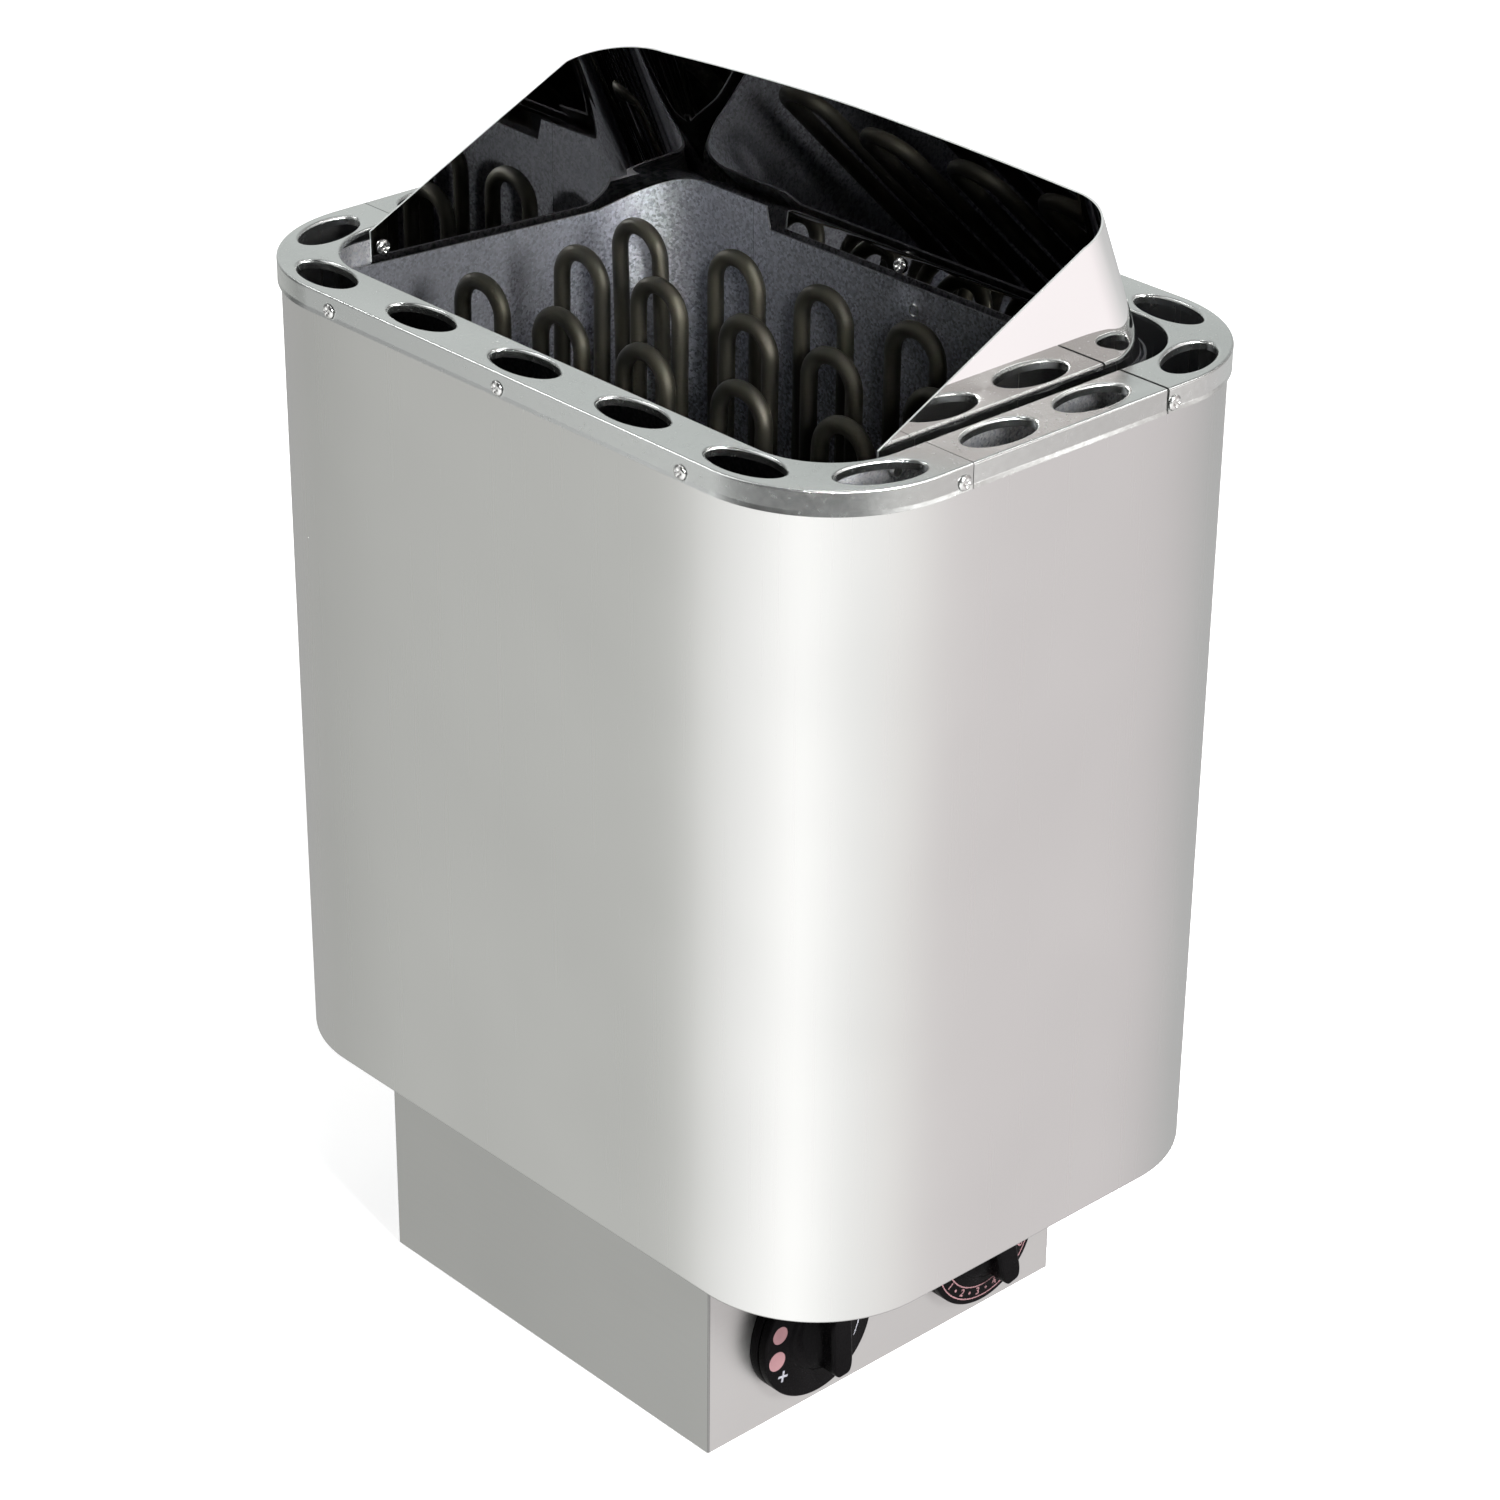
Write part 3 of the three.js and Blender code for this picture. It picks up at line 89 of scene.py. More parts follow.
class HeaterSizes(bpy.types.PropertyGroup):
    """Sizes of the dressed pieces, in metres."""

    corner: length("Casing corner", "Plan radius of the casing's corners", 68 * MM)
    sheet: length("Casing sheet", "Thickness of the casing", 1 * MM)
    hem: length("Casing hem", "Width of the fold under the casing", 10 * MM)
    spring: length("Sheet spring", "How far the bend's softness runs into the flat sides", 72 * MM)
    overhang: length("Rim overhang", "Rim's outer edge beyond the casing", 1.8 * MM)
    flange: length("Rim flange", "Width of the rim's flat top", 29.5 * MM)
    lip: length("Rim lip", "Height of the rim's turned-down lip", 12 * MM)
    lip_lean: angle_of("Lip lean", "How far the lip's face is turned up", 11)
    lip_curl: angle_of("Lip curl", "How far the lip's foot is turned up", 30)
    fold: length("Rim fold", "Radius of the fold at the rim's outer edge", 1.3 * MM)
    rim_sheet: length("Rim sheet", "Thickness of the rim", 0.9 * MM)
    seam: length("Rim seam", "Seam of the rim pieces from the middle of the side", 59.65 * MM)
    vent_length: length("Vent length", "Clear length of an oval vent", 41.5 * MM)
    vent_width: length("Vent width", "Clear width of an oval vent", 21.5 * MM)
    vent_roll: length("Vent roll", "Radius of the rolled edge of a vent", 1.6 * MM)
    vent_collar: length("Vent collar", "Depth of the collar under a vent", 4.4 * MM)
    vent_inset: length("Vent inset", "Vent centre line from the rim's outer edge", 15.9 * MM)
    guard_radius: length("Guard corner", "Radius of the guard's rear corners", 34.35 * MM)
    guard_lean: angle_of("Guard lean", "Lean of the guard's back wall", 22.9)
    guard_slope: angle_of("Guard slope", "Slope of the guard's arms", 26.13)
    guard_tuck: angle_of("Guard tuck", "Lean of the flange under the guard's crease", 11)
    guard_dip: length("Guard dip", "How much lower the left rear corner of the guard is", 5 * MM)
    guard_rise: length("Guard rise", "Top of the guard's back above the rim", 72.4 * MM)
    liner_radius: length("Liner corner", "Radius of the liner's rear corners", 40 * MM)
    tube: length("Element tube", "Radius of a heating element's tube", 4.1 * MM)
    pitch: length("Leg pitch", "Distance between the legs of an element", 29.6 * MM)
    legs: IntProperty(name="Legs", description="Straight legs of one element", default=10, min=2)
    box_edge: length("Box edge", "Bend radius of the control box's edges", 0.9 * MM)
    dial: length("Dial", "Radius of a dial", 35.2 * MM)
    grip_width: length("Grip width", "Width of a dial's bar grip", 13 * MM)
    grip_length: length("Grip length", "Length of a dial's bar grip", 37 * MM)
    grip_flare: length("Grip flare", "How far the grip's flanks sweep out to the hub", 7.5 * MM)


class HeaterLooks(bpy.types.PropertyGroup):
    """Colours of the materials and of the floor."""

    casing: colour("Casing", "Polished stainless sheet", (0.53, 0.53, 0.52))
    box: colour("Control box", "Satin stainless sheet", (0.41, 0.41, 0.402))
    rim: colour("Rim", "Brushed stainless rim", (0.66, 0.68, 0.668))
    mirror: colour("Guard", "Mirror-polished stainless", (0.84, 0.832, 0.825))
    zinc: colour("Liner", "Galvanised sheet", (0.355, 0.366, 0.402))
    oxide: colour("Elements", "Oxidised element sheath", (0.020, 0.020, 0.0165))
    black: colour("Dials", "Black dial plastic", (0.0025, 0.0023, 0.0025))
    print_rose: colour("Rose print", "Printed dots and rings", (0.18, 0.098, 0.105))
    print_white: colour("White print", "Printed off mark", (0.22, 0.22, 0.245))
    floor: colour("Floor", "Pale studio floor", (0.93, 0.93, 0.93))


def sizes():
    """The sizes set in the panel."""
    return bpy.context.scene.heater_sizes


def looks():
    """The colours set in the panel."""
    return bpy.context.scene.heater_looks


# Materials


def shader(name):
    """New material, its node tree and its surface node."""
    material = bpy.data.materials.new(name)
    material.use_nodes = True
    tree = material.node_tree
    bsdf = next(n for n in tree.nodes if n.type == "BSDF_PRINCIPLED")
    return material, tree, bsdf


def add(tree, kind, values=(), **settings):
    """New node with its settings and the values of its sockets."""
    made = tree.nodes.new(kind)
    for key, value in settings.items():
        setattr(made, key, value)
    for key, value in dict(values).items():
        made.inputs[key].default_value = value
    return made


def object_coords(tree, scale=(1, 1, 1)):
    """Object coordinates, stretched by a scale."""
    coords = add(tree, "ShaderNodeTexCoord")
    mapping = add(tree, "ShaderNodeMapping", {"Scale": scale})
    tree.links.new(coords.outputs["Object"], mapping.inputs["Vector"])
    return mapping.outputs["Vector"]


def noise(tree, vector, scale, detail=3.0, rough=0.55):
    """Noise of a given fineness."""
    made = add(
        tree, "ShaderNodeTexNoise", {"Scale": scale, "Detail": detail, "Roughness": rough}
    )
    tree.links.new(vector, made.inputs["Vector"])
    return made.outputs["Fac"]


def remap(tree, value, low, high, start=0.3, end=0.7, way="LINEAR"):
    """Takes the range from start to end into the one from low to high."""
    made = add(
        tree, "ShaderNodeMapRange",
        {"From Min": start, "From Max": end, "To Min": low, "To Max": high},
        interpolation_type=way,
    )
    tree.links.new(value, made.inputs["Value"])
    return made.outputs["Result"]


def tint(tree, value, dark, light):
    """Colour between dark and light by a noise value."""
    ramp = add(tree, "ShaderNodeValToRGB")
    for element, place, shown in zip(ramp.color_ramp.elements, (0.3, 0.7), (dark, light)):
        element.position = place
        element.color = (*shown, 1)
    tree.links.new(value, ramp.inputs["Fac"])
    return ramp.outputs["Color"]


def bump(tree, bsdf, height, strength, distance):
    """Relief on a surface."""
    made = add(tree, "ShaderNodeBump", {"Strength": strength, "Distance": distance})
    tree.links.new(height, made.inputs["Height"])
    tree.links.new(made.outputs["Normal"], bsdf.inputs["Normal"])


def shade(base, factor):
    """A colour made darker or lighter."""
    return tuple(min(1.0, c * factor) for c in base)


def metal(name, base, rough, grain, spread=0.05, bump_size=2e-5, brushed=0.0):
    """Metal with a grain: streaks stretched along the axis where the grain's scale is small."""
    material, tree, bsdf = shader(name)
    bsdf.inputs["Metallic"].default_value = 1.0
    if brushed:
        bsdf.inputs["Anisotropic"].default_value = brushed
        around = add(tree, "ShaderNodeTangent", direction_type="RADIAL", axis="Z")
        tree.links.new(around.outputs["Tangent"], bsdf.inputs["Tangent"])
    streak = noise(tree, object_coords(tree, grain), 1.0, 4.0, 0.6)
    cloud = noise(tree, object_coords(tree), 9.0, 2.0)
    clouded = tint(tree, cloud, shade(base, 0.975), shade(base, 1.02))
    tree.links.new(clouded, bsdf.inputs["Base Color"])
    tree.links.new(remap(tree, streak, rough - spread, rough + spread), bsdf.inputs["Roughness"])
    bump(tree, bsdf, streak, 0.25, bump_size)
    return material


def galvanised(name, base):
    """Zinc coat with a fine crystal spangle."""
    material, tree, bsdf = shader(name)
    bsdf.inputs["Metallic"].default_value = 1.0
    coords = object_coords(tree)
    crystal = add(tree, "ShaderNodeTexVoronoi", {"Scale": 760.0, "Randomness": 1.0})
    tree.links.new(coords, crystal.inputs["Vector"])
    grey = add(tree, "ShaderNodeRGBToBW")
    tree.links.new(crystal.outputs["Color"], grey.inputs["Color"])
    speck = noise(tree, coords, 1500.0, 2.0, 0.7)
    both = add(tree, "ShaderNodeMath", operation="ADD")
    tree.links.new(grey.outputs["Val"], both.inputs[0])
    tree.links.new(speck, both.inputs[1])
    half = add(tree, "ShaderNodeMath", {1: 0.5}, operation="MULTIPLY")
    tree.links.new(both.outputs["Value"], half.inputs[0])
    spangle = half.outputs["Value"]
    speckled = tint(tree, spangle, shade(base, 0.5), shade(base, 1.6))
    tree.links.new(speckled, bsdf.inputs["Base Color"])
    tree.links.new(remap(tree, spangle, 0.47, 0.36), bsdf.inputs["Roughness"])
    bump(tree, bsdf, spangle, 0.35, 6e-5)
    return material


def sheath(name, base):
    """Oxidised element sheath: dull, with brown and olive patches."""
    material, tree, bsdf = shader(name)
    bsdf.inputs["Metallic"].default_value = 0.9
    patch = noise(tree, object_coords(tree, (1, 1, 0.35)), 70.0, 5.0)
    fine = noise(tree, object_coords(tree), 1500.0, 2.0)
    warm = (base[0] * 1.4, base[1] * 1.32, base[2] * 1.15)
    tree.links.new(tint(tree, patch, shade(base, 0.65), warm), bsdf.inputs["Base Color"])
    tree.links.new(remap(tree, patch, 0.48, 0.60), bsdf.inputs["Roughness"])
    bump(tree, bsdf, fine, 0.2, 5e-5)
    return material


def plastic(name, base, rough, gloss=0.22):
    """Moulded plastic or print with a fine satin grain."""
    material, tree, bsdf = shader(name)
    bsdf.inputs["Specular IOR Level"].default_value = gloss
    fine = noise(tree, object_coords(tree), 1400.0, 2.0)
    cloud = noise(tree, object_coords(tree), 60.0, 3.0)
    clouded = tint(tree, cloud, shade(base, 0.85), shade(base, 1.15))
    tree.links.new(clouded, bsdf.inputs["Base Color"])
    tree.links.new(remap(tree, fine, rough - 0.06, rough + 0.06), bsdf.inputs["Roughness"])
    bump(tree, bsdf, fine, 0.15, 4e-5)
    return material


def palette(key):
    """The named material, made once; its prefix keeps it apart from the solids' own."""
    name = "dress_" + key
    found = bpy.data.materials.get(name)
    if found:
        return found
    look = looks()
    box, mirror, zinc = look.box[:], look.mirror[:], look.zinc[:]
    polish = (30, 30, 30)
    along = (7, 7, 420)
    made = {
        "casing_steel": lambda: metal(name, look.casing[:], 0.27, (420, 420, 4), 0.005, 3e-7),
        "box_steel": lambda: metal(name, box, 0.34, along, 0.03, 6e-6),
        # painted light: a lighter copy of the box steel for the box's left and right sides
        "box_side_painted_light": lambda: metal(name, shade(box, 1.22), 0.42, along, 0.03, 4e-6),
        # painted shade: a darker copy of the box steel for the bends at the box's upright corners,
        # which hides their highlight
        "box_bend_painted_shade": lambda: metal(name, shade(box, 0.5), 0.42, (900, 900, 900)),
        "rim_steel": lambda: metal(name, look.rim[:], 0.25, (340, 340, 340), 0.03, 4e-6, 0.7),
        # painted shade: dark sheet edges of the rim, a painted shadow line at the lip's foot
        "rim_edge_painted_shade": lambda: metal(name, (0.165, 0.172, 0.165), 0.40, (900, 900, 900), 0.12),
        "mirror_steel": lambda: metal(name, mirror, 0.018, polish, 0.006, 1e-6),
        # painted shade: a darker copy of the mirror steel for the guard's inner faces
        "guard_inside_painted_shade": lambda: metal(name, shade(mirror, 0.36), 0.018, polish, 0.006, 1e-6),
        # painted highlight: near-white top edges of the guard
        "guard_edge_painted_highlight": lambda: metal(name, (0.92, 0.94, 0.93), 0.45, (600, 600, 600)),
        "fastener_steel": lambda: metal(name, (0.59, 0.59, 0.58), 0.24, (900, 900, 900)),
        "zinc_plate": lambda: metal(name, (0.58, 0.585, 0.58), 0.38, (500, 500, 500)),
        # painted shade: near-black sheet edges of the liner and shield, and the guard's lower
        # edges
        "zinc_edge_painted_shade": lambda: metal(name, (0.065, 0.065, 0.07), 0.6, (700, 700, 700)),
        "zinc_spangle": lambda: galvanised(name, zinc),
        # painted shade: a much darker copy of the zinc for the shield's front, which lies in deep
        # shade
        "zinc_painted_shade": lambda: galvanised(name, shade(zinc, 0.06)),
        # painted light: a lighter copy of the zinc for the shield's right side, as if lit from the
        # right
        "zinc_painted_light": lambda: galvanised(name, shade(zinc, 2.2)),
        "element_sheath": lambda: sheath(name, look.oxide[:]),
        "dial_black": lambda: plastic(name, look.black[:], 0.30, 0.02),
        "gland_black": lambda: plastic(name, (0.02, 0.02, 0.02), 0.5),
        "switch_pale": lambda: plastic(name, (0.6, 0.58, 0.54), 0.5),
        "button_red": lambda: plastic(name, (0.45, 0.03, 0.02), 0.35),
        "capillary_copper": lambda: metal(name, (0.72, 0.42, 0.27), 0.3, (600, 600, 600)),
        "print_rose": lambda: plastic(name, look.print_rose[:], 0.5, 0.08),
        "print_white": lambda: plastic(name, look.print_white[:], 0.5, 0.08),
    }
    return made[key]()


# Mesh building; points are in metres from the middle of the casing's plan, z from the ground


def new_piece(
    name, points, faces, material, stands_for=(), body="heater", sharp=35,
    normals=None, broad=0, trim=None,
):
    """Object of a mesh; the first broad faces take the points' own normals, the rest the trim."""
    mesh = bpy.data.meshes.new(name)
    shifted = np.asarray(points, dtype=float) + np.array((0.0, PLAN_Y, 0.0))
    mesh.from_pydata(shifted.tolist(), [], [list(map(int, f)) for f in faces])
    if mesh.validate():
        raise RuntimeError(f"{name} has faces that don't hold together")
    mesh.materials.append(palette(material))
    if trim:
        mesh.materials.append(palette(trim))
        for polygon in mesh.polygons[broad:]:
            polygon.material_index = 1
    mesh.shade_smooth()
    mesh.set_sharp_from_angle(angle=math.radians(sharp))
    if normals is not None:
        corners = np.array([loop.vertex_index for loop in mesh.loops])
        count = sum(len(f) for f in faces[:broad])
        custom = np.zeros((len(corners), 3))
        custom[:count] = np.asarray(normals)[corners[:count]]
        mesh.normals_split_custom_set(custom.tolist())
    piece = bpy.data.objects.new(name, mesh)
    bpy.context.scene.collection.objects.link(piece)
    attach(piece, body)
    if stands_for:
        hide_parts(*stands_for)
    return piece


def even_normals(piece):
    """Shading that leaves the flat faces flat beside eased edges."""
    made = piece.modifiers.new("normals", "WEIGHTED_NORMAL")
    made.keep_sharp = True
    made.weight = 80


def flipped(faces):
    """Faces turned to look the other way."""
    return [tuple(reversed(f)) for f in faces]


def shell(rows, thickness, wrap=False):
    """Sheet behind a grid of points: points, faces, shading normals, count of broad faces."""
    front = np.asarray(rows, dtype=float)
    tall, wide = front.shape[:2]
    if wrap:
        padded = np.concatenate((front[:, -1:], front, front[:, :1]), axis=1)
        across = padded[:, 2:] - padded[:, :-2]
    else:
        across = np.gradient(front, axis=1)
    normals = np.cross(np.gradient(front, axis=0), across)
    normals /= np.linalg.norm(normals, axis=2, keepdims=True)
    points = np.concatenate((front.reshape(-1, 3), (front - normals * thickness).reshape(-1, 3)))
    shading = np.concatenate((normals.reshape(-1, 3), -normals.reshape(-1, 3)))
    count = tall * wide
    faces = strip(front, wrap) + flipped(strip(front, wrap, start=count))
    broad = len(faces)
    last = (tall - 1) * wide
    for j in range(wide if wrap else wide - 1):
        k = (j + 1) % wide
        faces.append((j, k, count + k, count + j))
        faces.append((last + k, last + j, count + last + j, count + last + k))
    if not wrap:
        for i in range(tall - 1):
            a, b = i * wide, (i + 1) * wide
            faces.append((b, a, count + a, count + b))
            a, b = a + wide - 1, b + wide - 1
            faces.append((a, b, count + b, count + a))
    return points, faces, shading, broad


class Pressing:
    """Sheet of a given thickness put together from swept sections and flat fillings."""

    def __init__(self, thickness):
        self.thickness = thickness
        self.points, self.normals, self.broad, self.edges = [], [], [], []

    def put(self, rows, ways, flip=False, wrap=False):
        """Adds rows of points with their normals and the faces between them."""
        start = len(self.points)
        for row, way in zip(rows, ways):
            self.points.extend(map(tuple, row))
            self.normals.extend(map(tuple, way))
        faces = strip(rows, wrap, start)
        self.broad.extend(flipped(faces) if flip else faces)
        return start

    def sweep(self, spots, outs, section, flip=False, wrap=False):
        """Carries a section of (outward, height, outward normal, upward normal) along a path."""
        rows, ways, under, below = [], [], [], []
        for out, z, n_out, n_up in section:
            way = np.column_stack((outs * n_out, np.full(len(outs), n_up)))
            row = np.column_stack((spots + outs * out, np.full(len(spots), z)))
            rows.append(row)
            ways.append(way)
            under.append(row - way * self.thickness)
            below.append(-way)
        top = self.put(rows, ways, flip, wrap)
        count = len(spots)
        low = self.put(under, below, not flip, wrap)
        last = (len(section) - 1) * count
        for j in range(count if wrap else count - 1):
            k = (j + 1) % count
            face = (top + last + j, low + last + j, low + last + k, top + last + k)
            self.edges.append(tuple(reversed(face)) if flip else face)

    def cap(self, spot, out, section, flip):
        """Closes an open end of a sweep."""
        start = len(self.points)
        for out_by, z, n_out, n_up in section:
            for depth in (0.0, self.thickness):
                place = spot + out * (out_by - depth * n_out)
                self.points.append((*place, z - depth * n_up))
                self.normals.append((0.0, 0.0, 0.0))
        for k in range(len(section) - 1):
            a = start + 2 * k
            face = (a, a + 1, a + 3, a + 2)
            self.edges.append(tuple(reversed(face)) if flip else face)

    def fill(self, border, holes, z):
        """Flat filling inside a border and outside the holes."""
        coords = [Vector(p) for p in border]
        edges = [(i, (i + 1) % len(border)) for i in range(len(border))]
        for hole in holes:
            start = len(coords)
            coords.extend(Vector(p) for p in hole)
            edges.extend((start + k, start + (k + 1) % len(hole)) for k in range(len(hole)))
        made, _, tris, _, _, _ = delaunay_2d_cdt(coords, edges, [], 0, 1e-7)
        for depth, up in ((0.0, 1.0), (self.thickness, -1.0)):
            start = len(self.points)
            self.points.extend((p.x, p.y, z - depth) for p in made)
            self.normals.extend((0.0, 0.0, up) for _ in made)
            for tri in tris:
                a, b, c = (made[i] for i in tri)
                centre = (a + b + c) / 3
                if not within(border, centre) or any(within(h, centre) for h in holes):
                    continue
                turn = (b.x - a.x) * (c.y - a.y) - (b.y - a.y) * (c.x - a.x)
                order = tri if turn * up > 0 else tri[::-1]
                self.broad.append(tuple(start + i for i in order))

    def piece(self, name, material, nodes, slot, side=1, trim=None):
        """Object of the sheet, mirrored front to rear where side is negative."""
        points, normals = np.array(self.points), np.array(self.normals)
        faces = self.broad + self.edges
        if side < 0:
            points[:, 1] *= -1
            normals[:, 1] *= -1
            faces = flipped(faces)
        return new_piece(
            name, points, faces, material, nodes, normals=normals, broad=len(self.broad),
            trim=trim,
        )


def strip(rings, wrap=False, start=0):
    """Quads between successive rows of points, with the first row's index at start."""
    faces = []
    count = len(rings[0])
    spans = count if wrap else count - 1
    for i in range(len(rings) - 1):
        for j in range(spans):
            k = (j + 1) % count
            a = start + i * count
            b = a + count
            faces.append((a + j, b + j, b + k, a + k))
    return faces


def rounded_plan(half_w, half_d, radius, steps, flats, middle_y=0.0):
    """Closed plan outline from the front's middle, anticlockwise: points and outward normals."""
    points, normals = [], []
    corners = (
        (half_w - radius, -half_d + radius, -90),
        (half_w - radius, half_d - radius, 0),
        (-half_w + radius, half_d - radius, 90),
        (-half_w + radius, -half_d + radius, 180),
    )
    for cx, cy, first in corners:
        for step in range(steps + 1):
            angle = math.radians(first + 90 * step / steps)
            normal = (math.cos(angle), math.sin(angle))
            points.append((cx + radius * normal[0], cy + radius * normal[1] + middle_y))
            normals.append(normal)
    full_points, full_normals = [], []
    for i, point in enumerate(points):
        full_points.append(point)
        full_normals.append(normals[i])
        ahead = points[(i + 1) % len(points)]
        gap = math.dist(point, ahead)
        if math.dist(normals[i], normals[(i + 1) % len(points)]) < 1e-9 and gap > 1e-6:
            for k in range(1, flats):
                part = k / flats
                full_points.append(tuple(p + (q - p) * part for p, q in zip(point, ahead)))
                full_normals.append(normals[i])
    return np.array(full_points), np.array(full_normals)


def carried(points, normals, profile):
    """Rows of a section of (outward, height) points carried along an outline."""
    rows = []
    for out, z in profile:
        spot = points + normals * out
        rows.append(np.column_stack((spot, np.full(len(spot), z))))
    return rows


def arc(centre, radius, first, last, steps):
    """Section points on an arc, angles in degrees from outward towards up."""
    made = []
    for i in range(steps + 1):
        angle = math.radians(first + (last - first) * i / steps)
        made.append((centre[0] + radius * math.cos(angle), centre[1] + radius * math.sin(angle)))
    return made


def tube_rings(path, tangents, radius, sides):
    """Rings of points round a path."""
    across = Vector((0, 1, 0)) if abs(tangents[0][1]) < 0.9 else Vector((1, 0, 0))
    last = Vector(tangents[0])
    rings = []
    for spot, heading in zip(path, tangents):
        heading = Vector(heading)
        across = last.rotation_difference(heading) @ across
        last = heading
        other = heading.cross(across)
        ring = []
        for k in range(sides):
            angle = 2 * math.pi * k / sides
            offset = across * (radius * math.cos(angle)) + other * (radius * math.sin(angle))
            ring.append(tuple(Vector(spot) + offset))
        rings.append(ring)
    return rings


def bent_path(corners, radius, steps):
    """Points and tangents along straight runs joined by arcs."""
    corners = [Vector(c) for c in corners]
    path, tangents = [], []

    def put(p, t):
        if not path or (path[-1] - p).length > 1e-7:
            path.append(p)
            tangents.append(t)

    put(corners[0], (corners[1] - corners[0]).normalized())
    for i in range(1, len(corners) - 1):
        before = (corners[i] - corners[i - 1]).normalized()
        after = (corners[i + 1] - corners[i]).normalized()
        turn = before.angle(after)
        room = min((corners[i] - corners[i - 1]).length, (corners[i + 1] - corners[i]).length) / 2
        bend = min(radius, room / math.tan(turn / 2))
        start = corners[i] - before * (bend * math.tan(turn / 2))
        side = (after - before * after.dot(before)).normalized()
        for step in range(steps + 1):
            angle = turn * step / steps
            p = start + before * (bend * math.sin(angle)) + side * (bend * (1 - math.cos(angle)))
            put(p, (before * math.cos(angle) + side * math.sin(angle)).normalized())
    put(corners[-1], (corners[-1] - corners[-2]).normalized())
    return path, tangents


def turned(profile, sides):
    """Points and faces of a body turned about +Z, closed at both ends by a fan."""
    points = []
    for r, z in profile:
        for k in range(sides):
            angle = 2 * math.pi * k / sides
            points.append((r * math.cos(angle), r * math.sin(angle), z))
    rows = [points[i * sides:(i + 1) * sides] for i in range(len(profile))]
    faces = flipped(strip(rows, wrap=True))
    low, high = len(points), len(points) + 1
    points.append((0, 0, profile[0][1]))
    points.append((0, 0, profile[-1][1]))
    top = (len(profile) - 1) * sides
    for k in range(sides):
        n = (k + 1) % sides
        faces.append((low, n, k))
        faces.append((high, top + k, top + n))
    return np.array(points), faces


def aimed(points, direction, at):
    """Turns points made along +Z to point along direction, and moves them."""
    turn = Vector((0, 0, 1)).rotation_difference(Vector(direction)).to_matrix()
    return (np.array(turn) @ np.asarray(points).T).T + np.asarray(at)


def spun(points, turn):
    """Points turned about +Z."""
    c, q = math.cos(turn), math.sin(turn)
    return np.asarray(points) @ np.array(((c, q, 0), (-q, c, 0), (0, 0, 1)))


def within(loop, spot):
    """Whether a plan point lies inside a closed loop of points."""
    x, y = spot
    ahead = np.roll(loop, -1, axis=0)
    cross = (loop[:, 1] > y) != (ahead[:, 1] > y)
    rise = np.where(cross, ahead[:, 1] - loop[:, 1], 1.0)
    at = loop[:, 0] + (y - loop[:, 1]) * (ahead[:, 0] - loop[:, 0]) / rise
    return bool(np.count_nonzero(cross & (x < at)) % 2)


def dress(node, material, bevel=0.0):
    """Gives a CAD node that stays in view its material and eased edges."""
    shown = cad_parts[node]
    shown.data.materials.clear()
    shown.data.materials.append(palette(material))
    if bevel:
        made = shown.modifiers.new("ease", "BEVEL")
        made.width = bevel
        made.segments = 2
        made.limit_method = "ANGLE"
        made.angle_limit = math.radians(40)
        made.harden_normals = True


class HEATER_OT_casing(bpy.types.Operator):
    """Wrapped casing sheet with its lower hem"""

    bl_idname = "heater.casing"
    bl_label = "Casing"

    def execute(self, context):
        s = sizes()
        points, normals = rounded_plan(HALF_W, HALF_D, s.corner, 28, 24)
        low, high = CASING_LOW.z, CASING_HIGH.z
        bend = 1.6 * MM
        outer = [(0, high)] + [(0, high + (low + bend - high) * k / 4) for k in range(1, 4)]
        outer += arc((-bend, low + bend), bend, 0, -90, 5) + [(-s.hem, low)]
        inner = [(-s.hem, low + s.sheet), (-s.sheet, low + s.sheet), (-s.sheet, high), (0, high)]
        rows = carried(points, normals, outer + inner)
        piece = new_piece(
            "casing", np.concatenate(rows), strip(rows, wrap=True), "casing_steel",
            ["outer_casing"],
        )
        soft = self.soft_normals(points, s.spring)
        wall = len(points) * 5  # the wall's rows come first
        mesh = piece.data
        custom = []
        for loop in mesh.loops:
            v = loop.vertex_index
            custom.append((*soft[v % len(points)], 0.0) if v < wall else (0.0, 0.0, 0.0))
        mesh.normals_split_custom_set(custom)
        return {"FINISHED"}

    def soft_normals(self, points, spring):
        """Plan normals with each bend's softness spread into the flats beside it."""
        closed = np.vstack((points, points[:1]))
        steps = np.linalg.norm(np.diff(closed, axis=0), axis=1)
        along = np.concatenate(([0], np.cumsum(steps)))
        total = along[-1]
        edges = np.diff(closed, axis=0)
        heading = np.unwrap(np.arctan2(edges[:, 1], edges[:, 0]))
        middle = (along[:-1] + along[1:]) / 2
        grid = np.linspace(-total, 2 * total, 6001)
        turns = [middle + k * total for k in (-1, 0, 1)]
        angles = [heading + 2 * math.pi * k for k in (-1, 0, 1)]
        fine = np.interp(grid, np.concatenate(turns), np.concatenate(angles))
        span = int(spring / (grid[1] - grid[0]))
        kernel = np.bartlett(2 * span + 1)
        smooth = np.convolve(fine, kernel / kernel.sum(), mode="same")
        angle = np.interp(along[:-1], grid, smooth) - math.pi / 2
        return np.column_stack((np.cos(angle), np.sin(angle)))


